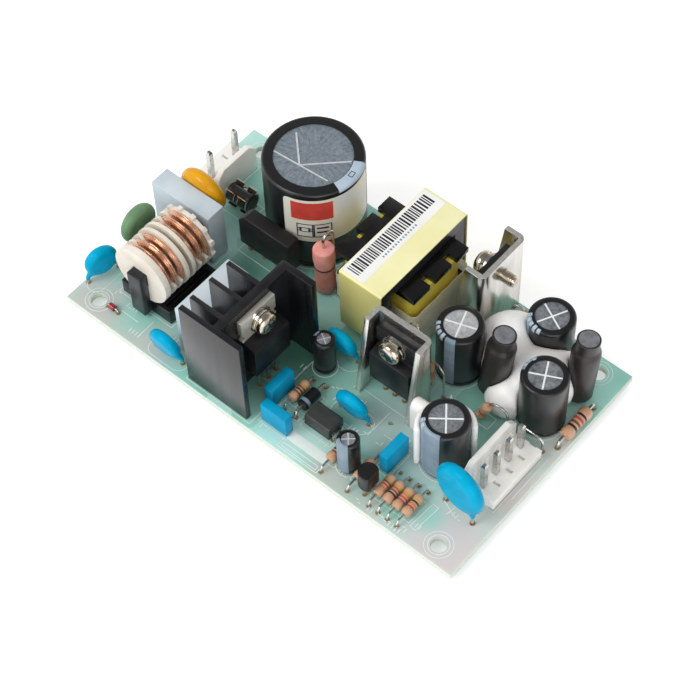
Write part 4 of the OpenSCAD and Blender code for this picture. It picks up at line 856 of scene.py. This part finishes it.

# %% [markdown]
# ## Fuse and clips
# The fuse is a smoked glass tube held in two sprung clips. A clip is a dark strip bent into an open
# ring with flared lips: the ring is a partial spin, the lips are thin plates, and the edges of the
# strip are fine partial rings and strips of brighter steel, a painted highlight.

# %% Fuse
fuse_glass = plain("smoked_glass", "1B1A19", "0E0D0D", 2, 0.1, 0.03, 0.5, 0.004,
                   Coat_Weight=1.0, Coat_Roughness=0.03)
dark_steel = plain("oxidised_spring_steel", "56534F", "3A3734", 1.2, 0.3, 0.08, 0.3, 0.006,
                   Metallic=0.8)
fuse_low, fuse_high, fuse_mid = box("fuse_body")
half, r = (fuse_high.x - fuse_low.x) / 2, (fuse_high.z - fuse_low.z) / 2
lying = standing(*fuse_mid) @ Matrix.Rotation(math.radians(90), 4, "Y")
fuse = bmesh.new()
turned(fuse, [(0, -half), (r * 0.9, -half), (r, -half + 0.2), (r, -half + 1.0),
              (r * 0.95, -half + 1.02), (r * 0.95, half - 1.02), (r, half - 1.0),
              (r, half - 0.2), (r * 0.9, half), (0, half)], lying, steps=40,
       paint=lambda z: 1 if abs(z) < half - 1.01 else 0)
piece("fuse", fuse, "fuse_body", dark_steel, fuse_glass, replaces=["fuse_body"])


# %% Fuse clips
def plate(bm, size, at, bevel=0.05, paint=0):
    """A small plate with rounded edges, size in mm, placed by a matrix."""
    old, seen = set(bm.verts), set(bm.faces)
    bmesh.ops.create_cube(bm, size=1, matrix=Matrix.Diagonal((*size, 1)))
    fresh = [v for v in bm.verts if v not in old]
    rounded(bm, unique(e for v in fresh for e in v.link_edges), bevel)
    for face in bm.faces:
        if face not in seen:
            face.material_index = paint
    bmesh.ops.transform(bm, matrix=at @ Matrix.Scale(MM, 4),
                        verts=[v for v in bm.verts if v not in old])


clip_low = box("fuse_clips")[0]
clips = bmesh.new()
for side in (-1, 1):
    middle = fuse_mid.x + side * 1.72
    hoop = standing(middle, fuse_mid.y, fuse_mid.z) @ Matrix.Rotation(math.radians(90), 4, "Y")
    turned(clips, [(r, -1.1), (r + 0.18, -1.1), (r + 0.18, 1.1), (r, 1.1)], hoop, sweep=284,
           start=-142, steps=36, closed=True)
    # The edges of the ring and the top edges of the lips take the brighter steel, a painted
    # highlight.
    for edge in (-1.16, 1.16):
        turned(clips, [(r - 0.02, edge - 0.09), (r + 0.22, edge - 0.09), (r + 0.22, edge + 0.09),
                       (r - 0.02, edge + 0.09)], hoop, sweep=284, start=-142, steps=36,
               closed=True, paint=1)
    for lean in (-1, 1):
        lip = standing(middle, fuse_mid.y + lean * 1.62, fuse_mid.z + 1.9) @ Matrix.Rotation(
            math.radians(-30 * lean), 4, "X")
        plate(clips, (2.3, 0.18, 0.9), lip)
        plate(clips, (2.4, 0.24, 0.16), lip @ Matrix.Translation((0, 0, 0.42 * MM)), paint=1)
    plate(clips, (2.2, 3.4, 0.25), standing(middle, fuse_mid.y, clip_low.z + 0.75))
    plate(clips, (2.2, 0.25, 1.9), standing(middle, fuse_mid.y, clip_low.z + 1.0))
piece("fuse_spring_clips", clips, "fuse_clips", dark_steel, spring_steel, replaces=["fuse_clips"])

# %% [markdown]
# ## Screws
# The machine screws have pan heads with a cross recess, a split spring washer under the head, and a
# thread that shows where the screw comes out behind the sheet. Head and core are turned, the thread
# is a fine strand wound along the core, and the recess is a dark cross let into the flat of the head,
# its darkness painted shade.

# %% Screws
# The recess is a cross of dark plates, which is painted shade.
recess = plain("screw_recess_shadow", "15110E", "0B0908", 0.8, 0.6, 0.05, 0.3, 0.01)
screws, washers = bmesh.new(), bmesh.new()
screw_points, spring_points = solids("fixing_screws"), solids("spring_washers")
screw_ways = [Vector((1, 0, 0)), Vector((0, -1, 0)), Vector((-1, 0, 0))]
for points, spring, way in zip(screw_points, spring_points, screw_ways):
    mid = Vector((points.min(0) + points.max(0)) / 2)
    along = points @ np.array(way)
    high, low = along.max(), along.min()
    seat = (spring @ np.array(way)).max()
    base = mid - way * mid.dot(way) + way * seat
    turn = way.to_track_quat("Z", "Y").to_matrix().to_4x4()
    at = standing(*base) @ turn
    tall, back = high - seat, seat - low
    turned(screws, [(0, tall), (1.35, tall), (2.0, tall - 0.14), (2.4, tall - 0.45),
                    (2.62, tall - 0.9), (2.68, 0.35), (2.55, 0.02), (1.22, 0), (1.22, -back + 0.3),
                    (0.95, -back), (0, -back)], at, steps=40)
    for spoke in (0, 90):
        cut = at @ Matrix.Translation((0, 0, (tall - 0.2) * MM)) @ Matrix.Rotation(
            math.radians(spoke + 20), 4, "Z")
        plate(screws, (2.7, 0.6, 0.44), cut, 0.08, 1)
    strand(screws, 1.28, 0.15, -0.5, (back - 0.5) / 0.5, at, steps=24)
    thick = seat - (spring @ np.array(way)).min()
    turned(washers, [(1.7, -0.05), (2.6, -0.05), (2.72, -0.15), (2.72, -thick + 0.12),
                     (2.6, -thick + 0.02), (1.7, -thick + 0.02)], at, sweep=344, start=60,
           steps=40, closed=True)
piece("pan_screws", screws, "fixing_screws", nickel, recess, replaces=["fixing_screws"],
      merge=1e-8)
piece("split_washers", washers, "spring_washers", nickel, replaces=["spring_washers"])

# %% [markdown]
# ## The transformer
# Polyester tape is wrapped round the core in several turns, pale yellow and a little glossy. It is
# drawn as a band with rounded corners, and its upright faces get a deeper yellow, which is painted
# shade. The winding under the bobbin's flange is wrapped in the same tape in a stronger yellow, and
# a milky film is folded round the foot.

# %% Tape finishes
tape_top = blank("polyester_tape_pale")
tape_ins = uneven(tape_top, "F0ECB8", "E9E4A8", 8, 0.36, 0.05, 2.5, 0.02)
tape_axes = add(tape_top, "SeparateXYZ", {0: add(tape_top, "NewGeometry").outputs["Normal"]})
painted_side_shade_mask = add(tape_top, "MapRange", {"Value": tape_axes.outputs[2], "From Min": 0.2,
                                    "From Max": 0.8})
# Upright faces of the tape take the deeper yellow D2CB80, which is painted shade.
tape_ins["Base Color"] = add(tape_top, "Mix", {0: painted_side_shade_mask.outputs[0], 6: linear("D2CB80"),
                                               7: tape_ins["Base Color"]},
                             data_type="RGBA").outputs[2]
shade(tape_top, tape_ins)
tape_deep = plain("polyester_tape_yellow", "FCE85C", "F0D648", 5, 0.3, 0.06, 1.8, 0.03,
                  (0.4, 0.4, 2.5), Coat_Weight=0.4, Coat_Roughness=0.15)
film = plain("milky_film", "FFFADC", "FAF3C8", 7, 0.3, 0.08, 3.5, 0.15,
             Subsurface_Weight=0.5, Subsurface_Scale=0.001, Subsurface_Radius=(1, 1, 0.85))
label_white = plain("coated_label_paper", "F1F1EE", "E6E6E2", 9, 0.4, 0.05, 0.8, 0.008)
dress(tape_deep, "transformer_windings")

# %% Tape band, film and label
tape_low, tape_high, tape_mid = box("transformer_tape")
tape_size = tape_high - tape_low
band = bmesh.new()
bmesh.ops.create_cube(band, size=1, matrix=Matrix.Diagonal((*tape_size, 1)))
sides = [f for f in band.faces if abs(f.normal.x) > 0.9]
bmesh.ops.delete(band, geom=sides, context="FACES_ONLY")
rounding = [e for e in band.edges if abs((e.verts[0].co - e.verts[1].co).normalized().x) > 0.9]
rounded(band, rounding, 0.55, 5)
bmesh.ops.recalc_face_normals(band, faces=band.faces)
bmesh.ops.solidify(band, geom=band.faces, thickness=0.24)
bmesh.ops.transform(band, matrix=standing(*tape_mid) @ Matrix.Scale(MM, 4), verts=band.verts)
piece("core_tape", band, "transformer_tape", tape_top, replaces=["transformer_tape"])

bobbin_low, bobbin_high, bobbin_mid = box("transformer_bobbin")
skirt = bmesh.new()
wide, deep, rise = bobbin_high.x - bobbin_low.x + 0.5, bobbin_high.y - bobbin_low.y + 0.5, 9.8
bmesh.ops.create_cube(skirt, size=1, matrix=Matrix.Diagonal((wide, deep, rise, 1)))
ends = [f for f in skirt.faces if abs(f.normal.z) > 0.9]
bmesh.ops.delete(skirt, geom=ends, context="FACES_ONLY")
uprights = [e for e in skirt.edges if abs((e.verts[0].co - e.verts[1].co).normalized().z) > 0.9]
rounded(skirt, uprights, 1.2, 5)
bmesh.ops.subdivide_edges(skirt, edges=skirt.edges, cuts=7, use_grid_fill=True)
for vert in skirt.verts:
    side = vert.co.x / (wide / 2)
    slope = (rise / 2 - vert.co.z) / rise
    vert.co.z -= 2.6 * max(-side, 0) * (1 - slope)
    vert.co.x += (1.0 * slope * max(side, 0) ** 2
                  + 0.1 * side ** 3 * (1 + math.sin(vert.co.y * 1.3 + vert.co.z)))
bmesh.ops.recalc_face_normals(skirt, faces=skirt.faces)
bmesh.ops.solidify(skirt, geom=skirt.faces, thickness=0.1)
bmesh.ops.transform(skirt, matrix=standing(bobbin_mid.x, bobbin_mid.y, 7.1)
                    @ Matrix.Scale(MM, 4), verts=skirt.verts)
piece("foot_film", skirt, "transformer_tape", film)

# %% [markdown]
# A white label lies along the back half of the core's top. It carries nothing but a row of plain
# dark bars of varied width, which encode nothing.

# %% Label with plain bars
sticker = bmesh.new()
label_x = (tape_low.x + 0.15, tape_low.x + 5.9)
mark(sticker, (label_x[1] - label_x[0], tape_size.y - 1.5),
     (sum(label_x) / 2, tape_mid.y, tape_high.z + 0.035), corner=0.2)
random.seed(4)
y = tape_low.y + 1.6
while y < tape_high.y - 1.8:
    bar = random.choice((0.2, 0.28, 0.4, 0.52))
    mark(sticker, (3.1, bar), (label_x[0] + 2.25, y + bar / 2, tape_high.z + 0.045), paint=1)
    y += bar + random.choice((0.24, 0.3, 0.38))
for k in range(14):
    mark(sticker, (0.5, 0.34 + 0.1 * (k % 2)),
         (label_x[0] + 4.6, tape_low.y + 8.5 + 0.8 * k, tape_high.z + 0.045), paint=2)
bmesh.ops.solidify(sticker, geom=sticker.faces, thickness=0.03 * MM)
piece("core_label", sticker, "transformer_tape", label_white, ink_dark, ink_stripe)

# %% [markdown]
# ## The board
# Glass fibre laminate under a thin green solder mask lets light through. Where there is copper on its
# underside it looks a deeper green, in areas with straight borders, and the front and right edges
# look a pale grey, partly the board's own tint and partly painted glare. Voronoi cells stand in for
# the copper areas, which follow no real circuit. Six tones and a list of soft spots give the drift
# from green to grey and the painted shade beside the tall parts: each spot has a tone, a place as
# shares of a CAD node's box, a reach in millimetres and a weight.

# %% Board mask and copper
board_high = box("circuit_board")[1]
board_top = board_high.z
board_finish = blank("masked_laminate")
place = add(board_finish, "TexCoord").outputs["Object"]
cloud = add(board_finish, "TexNoise", {"Vector": place, "Scale": 1000 / 22, "Detail": 4,
                                       "Roughness": 0.55})
level = add(board_finish, "MapRange", {"Value": cloud.outputs[0], "From Min": 0.38,
                                       "From Max": 0.62})
tone = add(board_finish, "Mix", {0: level.outputs[0], 6: linear("B6E4DA"), 7: linear("9AD0C4")},
           data_type="RGBA").outputs[2]
cells = add(board_finish, "TexVoronoi", {"Vector": place, "Scale": 1000 / 11, "Randomness": 0.8},
            distance="CHEBYCHEV")
lot = add(board_finish, "SeparateXYZ", {0: cells.outputs["Color"]})
copper_under = add(board_finish, "Math", {0: lot.outputs[0], 1: 0.55}, operation="GREATER_THAN")
faint = add(board_finish, "Math", {0: copper_under.outputs[0], 1: 0.36}, operation="MULTIPLY")
tone = add(board_finish, "Mix", {0: faint.outputs[0], 6: tone, 7: linear("60AE97")},
           data_type="RGBA").outputs[2]

# %% Board tones
# The two grey tones, laid at the board's edges and corners, are partly its own tint and partly
# painted glare. The darkest green, laid beside the heatsinks, the bridge, the diode and the sealant,
# is painted shade.
tones = {"grey": "D2CBC8", "grey_green": "C1C2BC", "dull_green": "B0BEBD",
         "pale_mint": "BFE5DD", "mint": "90D0C2", "painted_shade_green": "467A66"}
board = "circuit_board"
spots = [  # tone, CAD node, shares of its box along X and along Y, reach, weight
    ("grey_green", board, 0.06, 0.03, 15, 0.95), ("grey", board, 0.96, 0.07, 17, 1.0),
    ("grey", board, 1.0, 0.37, 13, 0.95), ("grey", board, 1.0, 0.6, 10, 0.8),
    ("grey_green", board, 0.69, 0.02, 9, 0.8), ("grey", board, 0.8, 0.0, 10, 0.6),
    ("grey_green", board, 0.21, 0.0, 12, 0.85), ("pale_mint", board, 0.58, 0.02, 9, 0.8),
    ("dull_green", "output_heatsink_left", 0.8, -0.3, 12, 0.7),
    ("painted_shade_green", "diode", 1.1, 1.4, 13, 0.2),
    ("painted_shade_green", "primary_heatsink", 0.85, 0.9, 12, 0.93),
    ("painted_shade_green", "primary_heatsink", 0.6, 0.4, 9, 0.55),
    ("mint", board, 0.83, 0.08, 5, 1.0), ("mint", board, 0.98, 0.9, 10, 0.3),
    ("dull_green", board, 0.81, 0.27, 9, 0.65),
    ("painted_shade_green", "bridge_rectifier", 0.4, -1.5, 9, 0.8),
    ("painted_shade_green", "output_heatsink_left", 0.25, 1.5, 10, 0.52),
    ("pale_mint", board, 0.02, 0.93, 12, 0.8), ("mint", "inrush_thermistor", 1.0, 0.2, 8, 0.7),
    ("painted_shade_green", "silicone_adhesive", 0.6, 0.48, 8, 0.34),
    ("pale_mint", "optocoupler", 0.9, 0.0, 7, 0.8), ("mint", "choke_base", 0.5, -0.13, 8, 0.7),
    ("mint", board, 0.89, 0.12, 5, 0.7)]
for name, node, share_x, share_y, reach, weight in spots:
    low, high = box(node)[:2]
    x, y = low.x + share_x * (high.x - low.x), low.y + share_y * (high.y - low.y)
    away = add(board_finish, "VectorMath", {0: place, 1: (x * MM, y * MM, board_top * MM)},
               operation="DISTANCE")
    soft = add(board_finish, "MapRange", {"Value": away.outputs["Value"],
                                          "From Min": 0.2 * reach * MM, "From Max": reach * MM,
                                          "To Min": weight, "To Max": 0.0},
               interpolation_type="SMOOTHSTEP")
    tone = add(board_finish, "Mix", {0: soft.outputs[0], 6: tone, 7: linear(tones[name])},
               data_type="RGBA").outputs[2]
print("board tones", len(tones), "spots", len(spots))

# %% Board edge and underside
normal = add(board_finish, "SeparateXYZ", {0: add(board_finish, "NewGeometry").outputs["Normal"]})
rim = add(board_finish, "Math", {0: normal.outputs[2], 1: 0.5}, operation="LESS_THAN")
edged = add(board_finish, "Mix", {0: rim.outputs[0], 6: tone, 7: linear("D3DBCD")},
            data_type="RGBA")
under = add(board_finish, "Math", {0: normal.outputs[2], 1: -0.5}, operation="LESS_THAN")
below = add(board_finish, "Mix", {0: copper_under.outputs[0], 6: linear("3B9A79"),
                                  7: linear("1F6650")}, data_type="RGBA")
whole = add(board_finish, "Mix", {0: under.outputs[0], 6: edged.outputs[2], 7: below.outputs[2]},
            data_type="RGBA")
weave = add(board_finish, "TexNoise", {"Vector": place, "Scale": 1000 / 0.6, "Detail": 2})
bump = add(board_finish, "Bump", {"Height": weave.outputs[0], "Distance": 0.01 * MM})
shade(board_finish, {"Base Color": whole.outputs[2], "Roughness": 0.34, "Normal": bump.outputs[0],
                     "Subsurface Weight": 0.25, "Subsurface Scale": 0.002,
                     "Subsurface Radius": (0.8, 1, 0.9)})
dress(board_finish, "circuit_board")
legend = plain("legend_ink", "E9F2EE", "D9E6E0", 4, 0.45, 0.05, 0.4, 0.01)
hole_rim = plain("bare_laminate_rim", "B59F78", "9C875F", 1, 0.4, 0.05, 0.3, 0.01)

# %% [markdown]
# White legend ink outlines the parts. The outlines follow the boxes of the CAD nodes, so they sit
# where the parts do. Every hole has a rim of bare laminate, placed from the solder joints below.

# %% Legend ink
def ring(bm, x, y, inner, outer, z, count=32, paint=0):
    old, seen = set(bm.verts), set(bm.faces)
    rims = []
    for radius in (inner, outer):
        rims += bmesh.ops.create_circle(bm, segments=count, radius=radius)["verts"]
    bmesh.ops.bridge_loops(bm, edges=unique(e for v in rims for e in v.link_edges))
    lay(bm, [v for v in bm.verts if v not in old], x, y, z)
    for face in bm.faces:
        if face not in seen:
            face.material_index = paint


lines = bmesh.new()
laid = 0
ink_x, ink_y = board_high.x - 0.6, board_high.y - 0.6


def ink_z():
    """Height of the next element. Each lies a hair above the last, so that crossings stay clean."""
    global laid
    laid += 1
    return board_top + 0.02 + 0.0015 * (laid % 40)


def outline(low, high, grow, corner=0.1, line=0.16):
    """A rectangle round a part, cut short where it would pass the edge of the board."""
    left, right = [min(max(x, -ink_x), ink_x) for x in (low[0] - grow, high[0] + grow)]
    front, back = [min(max(y, -ink_y), ink_y) for y in (low[1] - grow, high[1] + grow)]
    wide, deep = right - left, back - front
    mark(lines, (wide, deep), ((left + right) / 2, (front + back) / 2, ink_z()),
         corner=min(corner, wide / 2.02, deep / 2.02), line=line)


for name, grow in (("x_capacitor_filter", 0.6), ("x_capacitor_input", 0.6), ("choke_base", 0.7),
                   ("bridge_rectifier", 0.6), ("optocoupler", 0.9), ("dc_header_housing", 0.35),
                   ("ac_header_housing", 0.5), ("primary_heatsink", 0.45), ("fuse_clips", 0.6),
                   ("transformer_bobbin", 0.9)):
    outline(*box(name)[:2], grow)
for name, grow, corner in (("resistors", 0.35, 0.1), ("film_capacitors", 0.5, 0.1),
                           ("diode", 0.4, 0.1), ("y_capacitors", 0.9, 9), ("edge_resistor", 0.5, 0.1),
                           ("output_rectifiers", 1.2, 0.1)):
    for points in solids(name):
        outline(*extent(points)[:2], grow, corner, 0.14)
for points in can_points + [bulk_points] + solids("small_capacitor_sleeves"):
    low, high, mid = extent(points)
    r = (high[0] - low[0]) / 2
    ring(lines, mid[0], mid[1], r + 0.25, r + 0.42, ink_z(), 48)
holes = next(m for m in frame["record"]["mounts"] if m["name"] == "board_holes")["dims"]
hole_x, hole_y = holes["spacing_x_mm"] / 2, holes["spacing_y_mm"] / 2
for sx in (-1, 1):
    for sy in (-1, 1):
        for r in (2.15, 2.95):
            ring(lines, sx * hole_x, sy * hole_y, r, r + 0.14, ink_z(), 48)
strokes = [(12, -25.75, 9.8, 2.2, 0), (43.2, -18.6, 4.6, 0.16, -22), (43.6, -18.2, 0.16, 3.6, -10),
           (39.7, -13.4, 0.18, 4, 0),
           (51.2, -3.0, 0.18, 12, 0), (23.5, -13.5, 3.2, 0.16, 0), (19.5, -11.5, 0.16, 5.5, 0),
           (16.0, -13.5, 6.0, 0.16, 0), (27.0, -12.8, 0.16, 3.4, 0), (16.2, -20.3, 0.16, 4, 0),
           (-33.5, -25.5, 0.18, 5, 0), (-38.5, -25.2, 5, 0.18, 0)]
for x, y, wide, deep, turn in strokes:
    mark(lines, (wide, deep), (x, y, ink_z()), turn)
for x, y, wide, deep, turn, line in ((12, -26.9, 10.6, 4.9, 0, 0.18),
                                     (40.4, -23.2, 1.6, 7.0, -4, 0.16),
                                     (12, -28.3, 9.4, 1.1, 0, 0.18)):
    mark(lines, (wide, deep), (x, y, ink_z()), turn, corner=0.1, line=line)

# %% [markdown]
# Short strokes in small groups stand where a board carries its part marks. They are plain bars and
# spell nothing.

# %% Small marks
random.seed(11)
marks = [(20.5, -25.8), (27.5, -28.6), (30.6, -28.9), (33.2, -28.9), (36.0, -28.9), (38.6, -28.0),
         (15.5, -16.5), (13.2, -10.2), (8.5, -13.2), (6.5, -11.0), (9.8, -8.2), (24.6, -19.5),
         (22.2, -15.6), (0.5, -24.4), (1.2, -27.8), (-2.0, -11.5), (5.5, -22.0), (40.4, -25.6),
         (43.6, -19.0), (48.4, 9.0), (48.2, 16.8), (-45.0, -22.5), (-40.8, -23.2),
         (-36.0, -27.6), (-30.0, -24.4), (-27.2, -23.4), (-17.0, -3.0), (-48.8, 8.0), (-40.5, 24.6),
         (-46.0, 6.8), (12.0, -22.9), (18.6, -15.2), (20.8, -21.0), (27.2, -9.4), (39.8, -15.8)]
for x, y in marks:
    for k in range(random.choice((2, 3, 4))):
        tall_mark = random.random() < 0.6
        wide, deep = (0.2, 1.1) if tall_mark else (0.75, 0.2)
        shift = 0 if tall_mark else random.choice((-0.4, 0.1, 0.45))
        mark(lines, (wide, deep), (x + 0.85 * k, y + shift, ink_z()))
bmesh.ops.solidify(lines, geom=lines.faces, thickness=0.012 * MM)
piece("legend_lines", lines, "circuit_board", legend, merge=1e-8)

# %% Hole rims
rims = bmesh.new()
for points in solids("solder_joints"):
    low, high, mid = extent(points)
    r = (high[0] - low[0]) / 4
    if r < 0.9:
        ring(rims, mid[0], mid[1], r + 0.1, r + 0.34, board_top + 0.024, 20)
bmesh.ops.solidify(rims, geom=rims.faces, thickness=0.012 * MM)
piece("hole_rims", rims, "circuit_board", hole_rim)

# %% [markdown]
# ## Floor, light and background
# The supply stands on a plain white floor, on the tips of its trimmed leads. Soft light comes from a
# broad lamp in front, with a weaker, lower one on the right, where the studio is a little darker.
# The background is white to the camera and, near the horizon, in reflections too, but it adds no
# more light to the parts than a plain studio would.

# %% Floor
floor_mesh = bpy.data.meshes.new("floor")
bm = bmesh.new()
bmesh.ops.create_grid(bm, x_segments=1, y_segments=1, size=3.0,
                      matrix=Matrix.Translation((0, 0, cad_box[0][2] - 0.0002)))
bm.to_mesh(floor_mesh)
bm.free()
floor = bpy.data.objects.new("floor", floor_mesh)
bpy.context.scene.collection.objects.link(floor)
paper = blank("white_paper_floor")
path = add(paper, "LightPath")
soft = add(paper, "BsdfDiffuse", {"Color": linear("EDEDED")})
seen = add(paper, "Math", {0: path.outputs["Is Camera Ray"], 1: path.outputs["Is Glossy Ray"]},
           operation="MAXIMUM")
glow = add(paper, "Emission", {"Strength": add(paper, "Math", {0: seen.outputs[0], 1: 0.42},
                                               operation="MULTIPLY").outputs[0]})
both = add(paper, "AddShader", {0: soft.outputs[0], 1: glow.outputs[0]})
add(paper, "OutputMaterial", {"Surface": both.outputs[0]})
floor_mesh.materials.append(paper)

# %% World
world = bpy.data.worlds.new("studio")
bpy.context.scene.world = world
world.use_nodes = True
world.node_tree.nodes.clear()
path = add(world, "LightPath")
sky = add(world, "SeparateXYZ", {0: add(world, "TexCoord").outputs["Generated"]})
dome = add(world, "MapRange", {"Value": sky.outputs[2], "From Min": 0.1, "From Max": 0.75,
                               "To Min": 1.0, "To Max": 0.25})
mirror = add(world, "Math", {0: path.outputs["Is Glossy Ray"],
                             1: path.outputs["Is Transmission Ray"]}, operation="MAXIMUM")
soft_side = add(world, "MapRange", {"Value": sky.outputs[0], "From Min": 0.3, "From Max": 1.0,
                                    "To Min": 0.79, "To Max": 0.5})
level = add(world, "Mix", {0: mirror.outputs[0], 2: soft_side.outputs[0], 3: dome.outputs[0]})
seen = add(world, "Mix", {0: path.outputs["Is Camera Ray"], 2: level.outputs[0], 3: 1.0})
add(world, "OutputWorld", {"Surface": add(world, "Background", {
    "Color": (1, 1, 1, 1), "Strength": seen.outputs[0]}).outputs[0]})


# %% Lamps
def lamp(name, place, size, watts):
    light = bpy.data.lights.new(name, "AREA")
    light.size = size
    light.energy = watts
    holder = bpy.data.objects.new(name, light)
    holder.location = place
    holder.rotation_euler = (-Vector(place)).to_track_quat("-Z", "Y").to_euler()
    bpy.context.scene.collection.objects.link(holder)


lamp("key", (-0.2, -0.42, 0.5), 0.35, 2.0)
lamp("fill", (0.36, -0.32, 0.2), 0.35, 0.7)
